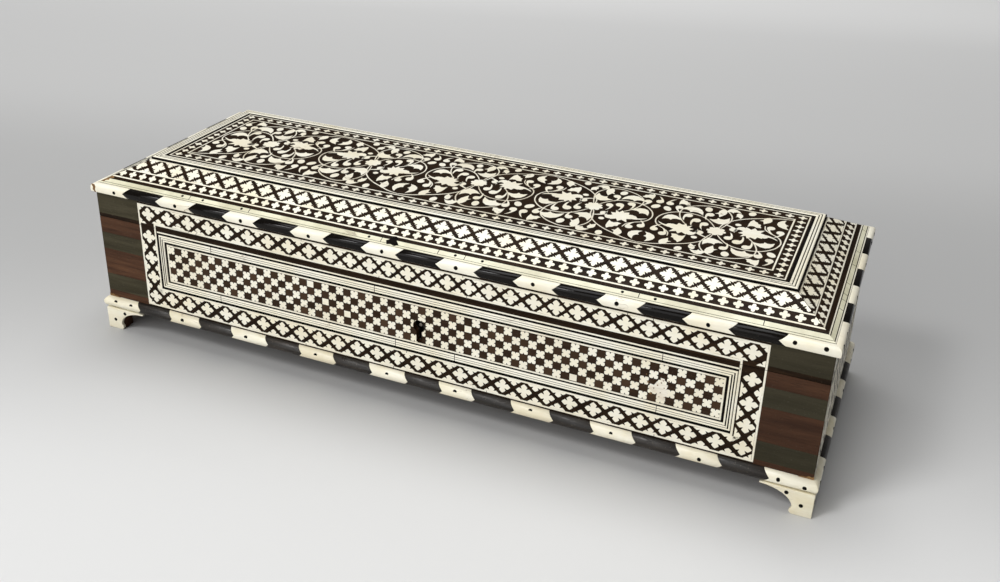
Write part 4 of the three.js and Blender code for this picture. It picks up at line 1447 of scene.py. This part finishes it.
def layMouldings():
    baseLow = corner("base_moulding_front", False, 2)
    baseReach = -corner("base_moulding_front", False, 1) - carcaseY - moulding["shrink"]
    rimReach = rimY - carcaseY - moulding["shrink"]
    base = halfRound(baseLow, bandBottom, baseReach)
    rim = rimSection(bandTop, rimTop, rimReach)
    for side in roundTheBox:
        baseWay, rimWay = moulding["ways"][side]
        layRail("base", side, base, baseReach, baseWay, "base")
        layRail("rim", side, rim, rimReach, rimWay, "lid")


layMouldings()


print("stage: feet")

foot = {
    "facingRound": (0.7, 3),    # width of the rounding, and its segments
    "blockRound": (0.3, 2),
    "pegs": ((6.3, 6.6), (14.6, 12.6)),
    "pegSink": 0.06,
    "setBack": (1 - 0.0005, 1 - 0.0014, 1),   # so that the pegs can stand proud of the facing
}


def softened(node, width, segments=2):
    # a copy of a node with its sharp edges rounded off
    piece = copyOf(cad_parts[node])
    piece.name = node + "Soft"
    with editing(piece):
        bpy.ops.mesh.remove_doubles(threshold=0.00002)
        bpy.ops.mesh.dissolve_limited(angle_limit=math.radians(4))
        bpy.ops.mesh.normals_make_consistent(inside=False)
    roundEdges(piece, width * mm, segments, 30)
    smooth(piece, 38)
    giveShade(piece, 0.08)
    return piece


def layFeet():
    for node in [f"foot_{fore}_{side}" for fore in ("front", "back")
                 for side in ("left", "right")]:
        facing = softened(node + "_facing", *foot["facingRound"])
        facing.data.transform(Matrix.Diagonal((*foot["setBack"], 1)))
        handIn(facing, "oldIvory", "base", [node + "_facing"])
        handIn(softened(node + "_block", *foot["blockRound"]), "rosewood", "base",
               [node + "_block"])
    reachX = corner("foot_front_right_facing", True, 0)
    reachY = -corner("foot_front_right_facing", False, 1)
    size = moulding["peg"]
    for side in roundTheBox:
        half, face = (reachX, reachY) if side in ("front", "back") else (reachY, reachX)
        spots = [(way * (half - inward), level, 0, size, size, -foot["pegSink"])
                 for way in (-1, 1) for inward, level in foot["pegs"]]
        stampMotifs("foot" + side.capitalize() + "Pegs", "bud", spots,
                    wallPanel(face, sides[side][0]), "dirt", "base", 0.3, 0.0)


layFeet()


print("stage: joints, repairs and damage")

# butt joints of the strips: places along each strip, its two edges, and how far they stand out
ticks = {
    "base": (((-142.5, -28.6, 142.5), (72.1, 76.2), 0.52),
             ((-138.0, -15.3, 22.8, 142.0), (39.5, 43.6), 0.52),
             ((-8.2,), (36.7, 37.8), 0.08),
             ((-134.5, -77.4, -17.0, 43.2, 142.3), (24.0, 25.1), 0.08)),
    "lid": (((-77.0, -30.6, 27.0, 83.0, 121.7, 135.6), (94.3, 95.4), 0.08),
            ((-85.3, -25.6, 29.6), (82.2, 83.4), 0.08)),
}
slopeTicks = {
    "front": ((-158.0, -115.0, -25.8, 10.0, 26.2, 125.7, 190.5), (1.55, 4.45)),
    "right": ((-41.0, -30.0, -23.0, -9.5, 15.0, 34.0, 66.0), (1.3, 3.7)),
}
slopePegs = (-163.5, -148.5, -120.5, -33.8, 20.5, 36.8, 116.8, 134.5)
seam = {
    "low": -0.1,
    "half": 0.16,
    "slopeHalf": 0.2,
    "slopeHigh": 0.135,
    "slopePeg": (3.1, 0, 0.85, 0.85, 0.075),    # up the slope, turn, half sizes and lift
}
damage = {
    # an old filling in the chequers, and a hole knocked in the slope's fillet
    "filling": ((141.6, 47.2), (146.3, 47.6), (146.0, 50.4), (147.4, 52.0), (146.2, 54.9),
                (147.0, 57.8), (145.1, 58.2), (144.8, 61.2), (142.6, 61.4), (142.9, 58.3),
                (140.9, 58.8), (139.4, 56.1), (137.2, 56.4), (136.6, 53.4), (138.9, 51.6),
                (141.3, 51.5)),
    "specks": ((143.2, 52.2, 0.55), (144.9, 55.6, 0.45), (143.4, 58.4, 0.6), (139.4, 54.2, 0.6),
               (145.6, 50.0, 0.5), (142.6, 49.6, 0.4), (141.3, 56.4, 0.5), (144.3, 60.0, 0.4),
               (136.0, 56.9, 0.7), (138.0, 50.6, 0.8), (147.4, 60.2, 0.6), (134.8, 61.6, 0.5)),
    "hole": ((-21.4, 0.6), (-19.2, 1.2), (-16.6, 0.4), (-14.2, 1.7), (-15.4, 3.0),
             (-16.6, 4.4), (-15.9, 6.2), (-18.2, 7.3), (-20.6, 6.8), (-20.9, 4.6),
             (-22.9, 3.2)),
    # brown, broken edges along the left mitre: on the rim's front, and up the slope
    "mitre": ((-226.6, 97.8), (-225.7, 97.8), (-226.2, 99.6), (-225.6, 101.2), (-226.8, 102.6),
              (-228.6, 102.9), (-227.6, 101.0), (-228.0, 99.4)),
    "slopeMitre": ((-229.0, -0.4), (-226.4, 0.3), (-224.9, 1.5), (-222.6, 1.3), (-221.9, 2.6),
                   (-219.8, 3.2), (-220.3, 4.5), (-217.6, 5.2), (-218.3, 7.0), (-221.0, 6.4),
                   (-224.0, 6.8), (-228.0, 3.4)),
    # a lifted edge of the veneer over the base moulding, at both front corners
    "edgeLoss": ((-229.4, 22.9), (-219.4, 22.9), (-221.6, 23.6), (-223.4, 23.5),
                 (-225.0, 24.5), (-226.6, 24.0), (-228.2, 25.4), (-229.4, 25.0)),
}
patchDepth = {"filling": (-0.1, 0.13), "hole": (-0.1, 0.15), "mitre": (-0.6, 0.03),
              "slopeMitre": (-0.3, 0.16), "edgeLoss": (-0.3, 0.3)}
speckLift = 0.08
edgeOver = 0.1      # how far the lifted veneer may stand over the ends of the front


def layTicks():
    low = seam["low"]
    for body, rows in ticks.items():
        marks = [thicken(sheet(u - seam["half"], u + seam["half"], *edges), low, lift)
                 for places, edges, lift in rows for u in places]
        lay(marks, body + "Joints", frontPanel, "dirt", body)
    wide, high = seam["slopeHalf"], seam["slopeHigh"]
    for side, (places, edges) in slopeTicks.items():
        angle, _, face = sides[side]
        marks = [thicken(sheet(u - wide, u + wide, *edges), low, high) for u in places]
        lay(marks, side + "SlopeJoints", cantPanel(angle, face), "dirt", "lid")
    spots = [(u, *seam["slopePeg"]) for u in slopePegs]
    stampMotifs("slopePegs", "bud", spots, cantPanel(0, carcaseY), "dirt", "lid", 0.3, 0.0)


def patch(name):
    return thicken(dragRim(name, damage[name]), *patchDepth[name])


def layDamage():
    slope = cantPanel(0, carcaseY)
    lay([patch("filling")], "panelFilling", frontPanel, "filler", "base")
    spots = [(u, v, dice.uniform(0, 90), size, size * dice.uniform(0.5, 1.2), speckLift)
             for u, v, size in damage["specks"]]
    stampMotifs("fillingSpecks", "star", spots, frontPanel, "worn", "base", 0.6)
    lay([patch("hole")], "slopeHole", slope, "dirt", "lid")
    lay([patch("mitre")], "rimMitreLoss", wallPanel(rimY - moulding["shrink"]), "worn", "lid")
    loss = patch("slopeMitre")
    cutMitres(loss, carcaseX)
    lay([loss], "slopeMitreLoss", slope, "worn", "lid")
    edges = [patch("edgeLoss")]
    edges.append(copyOf(edges[0]))
    edges[1].data.transform(Matrix.Diagonal((-1, 1, 1, 1)))
    recalculate(edges[1])
    for edge in edges:
        for way in (-1, 1):
            sawOff(edge, (way * (faceX + edgeOver), 0, 0), (way, 0, 0))
    lay(edges, "veneerEdgeLoss", frontPanel, "worn", "base")


layTicks()
layDamage()


print("stage: hinges, lock and the raised frame")

fittings = {
    "leafSoft": 0.12,
    "lockSoft": 0.1,
    "grooveWidth": 0.45,
    "grooveLow": -0.2,
    "grooveDrop": 0.03,
    # the strip at the edge is painted shade of the raised frame's side
    "sideShadeWidth": 0.6,
    "edgeLow": 0.3,         # how far the string at the edge goes below the cant's top
    "edgeDrop": 0.5,        # and how far it stays below the raised frame's top
}


def layFittings():
    for side in ("left", "right"):
        for part, body in (("base_leaf", "base"), ("lid_leaf", "lid"), ("pin", "base")):
            node = f"hinge_{side}_{part}"
            handIn(softened(node, fittings["leafSoft"]), "brass", body, [node])
    for node, body in (("lock_case", "base"), ("lock_cover", "base"), ("lock_bolt", "bolt"),
                       ("lock_link_plate", "lid")):
        handIn(softened(node, fittings["lockSoft"]), "steel", body, [node])
    # painted shade down the outer side of the raised frame on the lid, a dark strip for its shaded
    # step; and black in its grooves, part dirt, part painted shade
    width = fittings["sideShadeWidth"]
    low = corner("lid_front_cant", True, 2) - fieldTop - fittings["edgeLow"]
    high = frameTop - fieldTop
    outside = thicken(topFrame(-width, width), low, high - fittings["edgeDrop"])
    lay([outside], "lidStringing", fieldPanel, "dirt", "lid")
    width = fittings["grooveWidth"]
    grooves = [thicken(topFrame(frameWidth / 3 * k - width / 2, width), fittings["grooveLow"],
                       high - fittings["grooveDrop"]) for k in (1, 2)]
    lay(grooves, "lidReedGrooves", fieldPanel, "dirt", "lid")


layFittings()


print("stage: screws")

screws = {
    "head": 1.75,
    "proud": 0.05,
    "thick": 1.0,
    "countersink": 0.5,
    "round": 0.06,
    "slot": (0.42, 0.55),       # width and depth
    "shank": (0.85, 6.0),
    "tip": 0.2,
    "hinges": (-150, 150),
    "hinge": 73.2,              # how far back the hinge screws stand
    "hingeRow": (-10.0, 0.0, 10.0),
    "lock": (24.0, -70.7),
    "linkSink": 0.05,
}


def screwBlank():
    # a countersunk head with its slot, and the shank below it
    top, thick = screws["proud"], screws["thick"]
    low = top - thick
    deselect()
    bpy.ops.mesh.primitive_cylinder_add(vertices=28, radius=screws["head"], depth=thick,
                                        location=(0, 0, top - thick / 2))
    head = bpy.context.object
    bpy.ops.object.transform_apply(location=True)
    narrow = screws["countersink"]
    resizeSome(head, lambda k, co: co.z < low + 0.01, (narrow, narrow, 1))
    width, depth = screws["slot"]
    bpy.ops.mesh.primitive_cube_add(size=1, location=(0, 0, top))
    saw = bpy.context.object
    saw.scale = (width, screws["head"] * 3, depth * 2)
    cutWith(head, saw)
    roundEdges(head, screws["round"])
    radius, length = screws["shank"]
    bpy.ops.mesh.primitive_cone_add(vertices=14, radius1=screws["tip"], radius2=radius,
                                    depth=length, location=(0, 0, low - length / 2 + 0.1))
    shank = bpy.context.object
    bpy.ops.object.transform_apply(location=True)
    screw = joinPieces([head, shank], "screw")
    smooth(screw)
    return screw


def layScrews():
    blank = screwBlank()
    reach, lockBack = screws["lock"]
    places = [(hinge + along, screws["hinge"]) for hinge in screws["hinges"]
              for along in screws["hingeRow"]] + [(-reach, lockBack), (reach, lockBack)]
    for body, level, up in (("base", corner("lock_case", True, 2), 1),
                            ("lid", lidBottom + screws["linkSink"], -1)):
        row = []
        for u, back in places:
            screw = copyOf(blank)
            screw.data.transform(Matrix.Translation((u, back * up, 0))
                                 @ Matrix.Rotation(dice.uniform(0, math.pi), 4, "Z"))
            row.append(screw)
        lay(row, body + "Screws", facePanel((0, 0, level), (1, 0, 0), (0, up, 0)), "brass", body)
    bpy.data.objects.remove(blank)


layScrews()

for blank in motifs.values():
    bpy.data.objects.remove(blank)
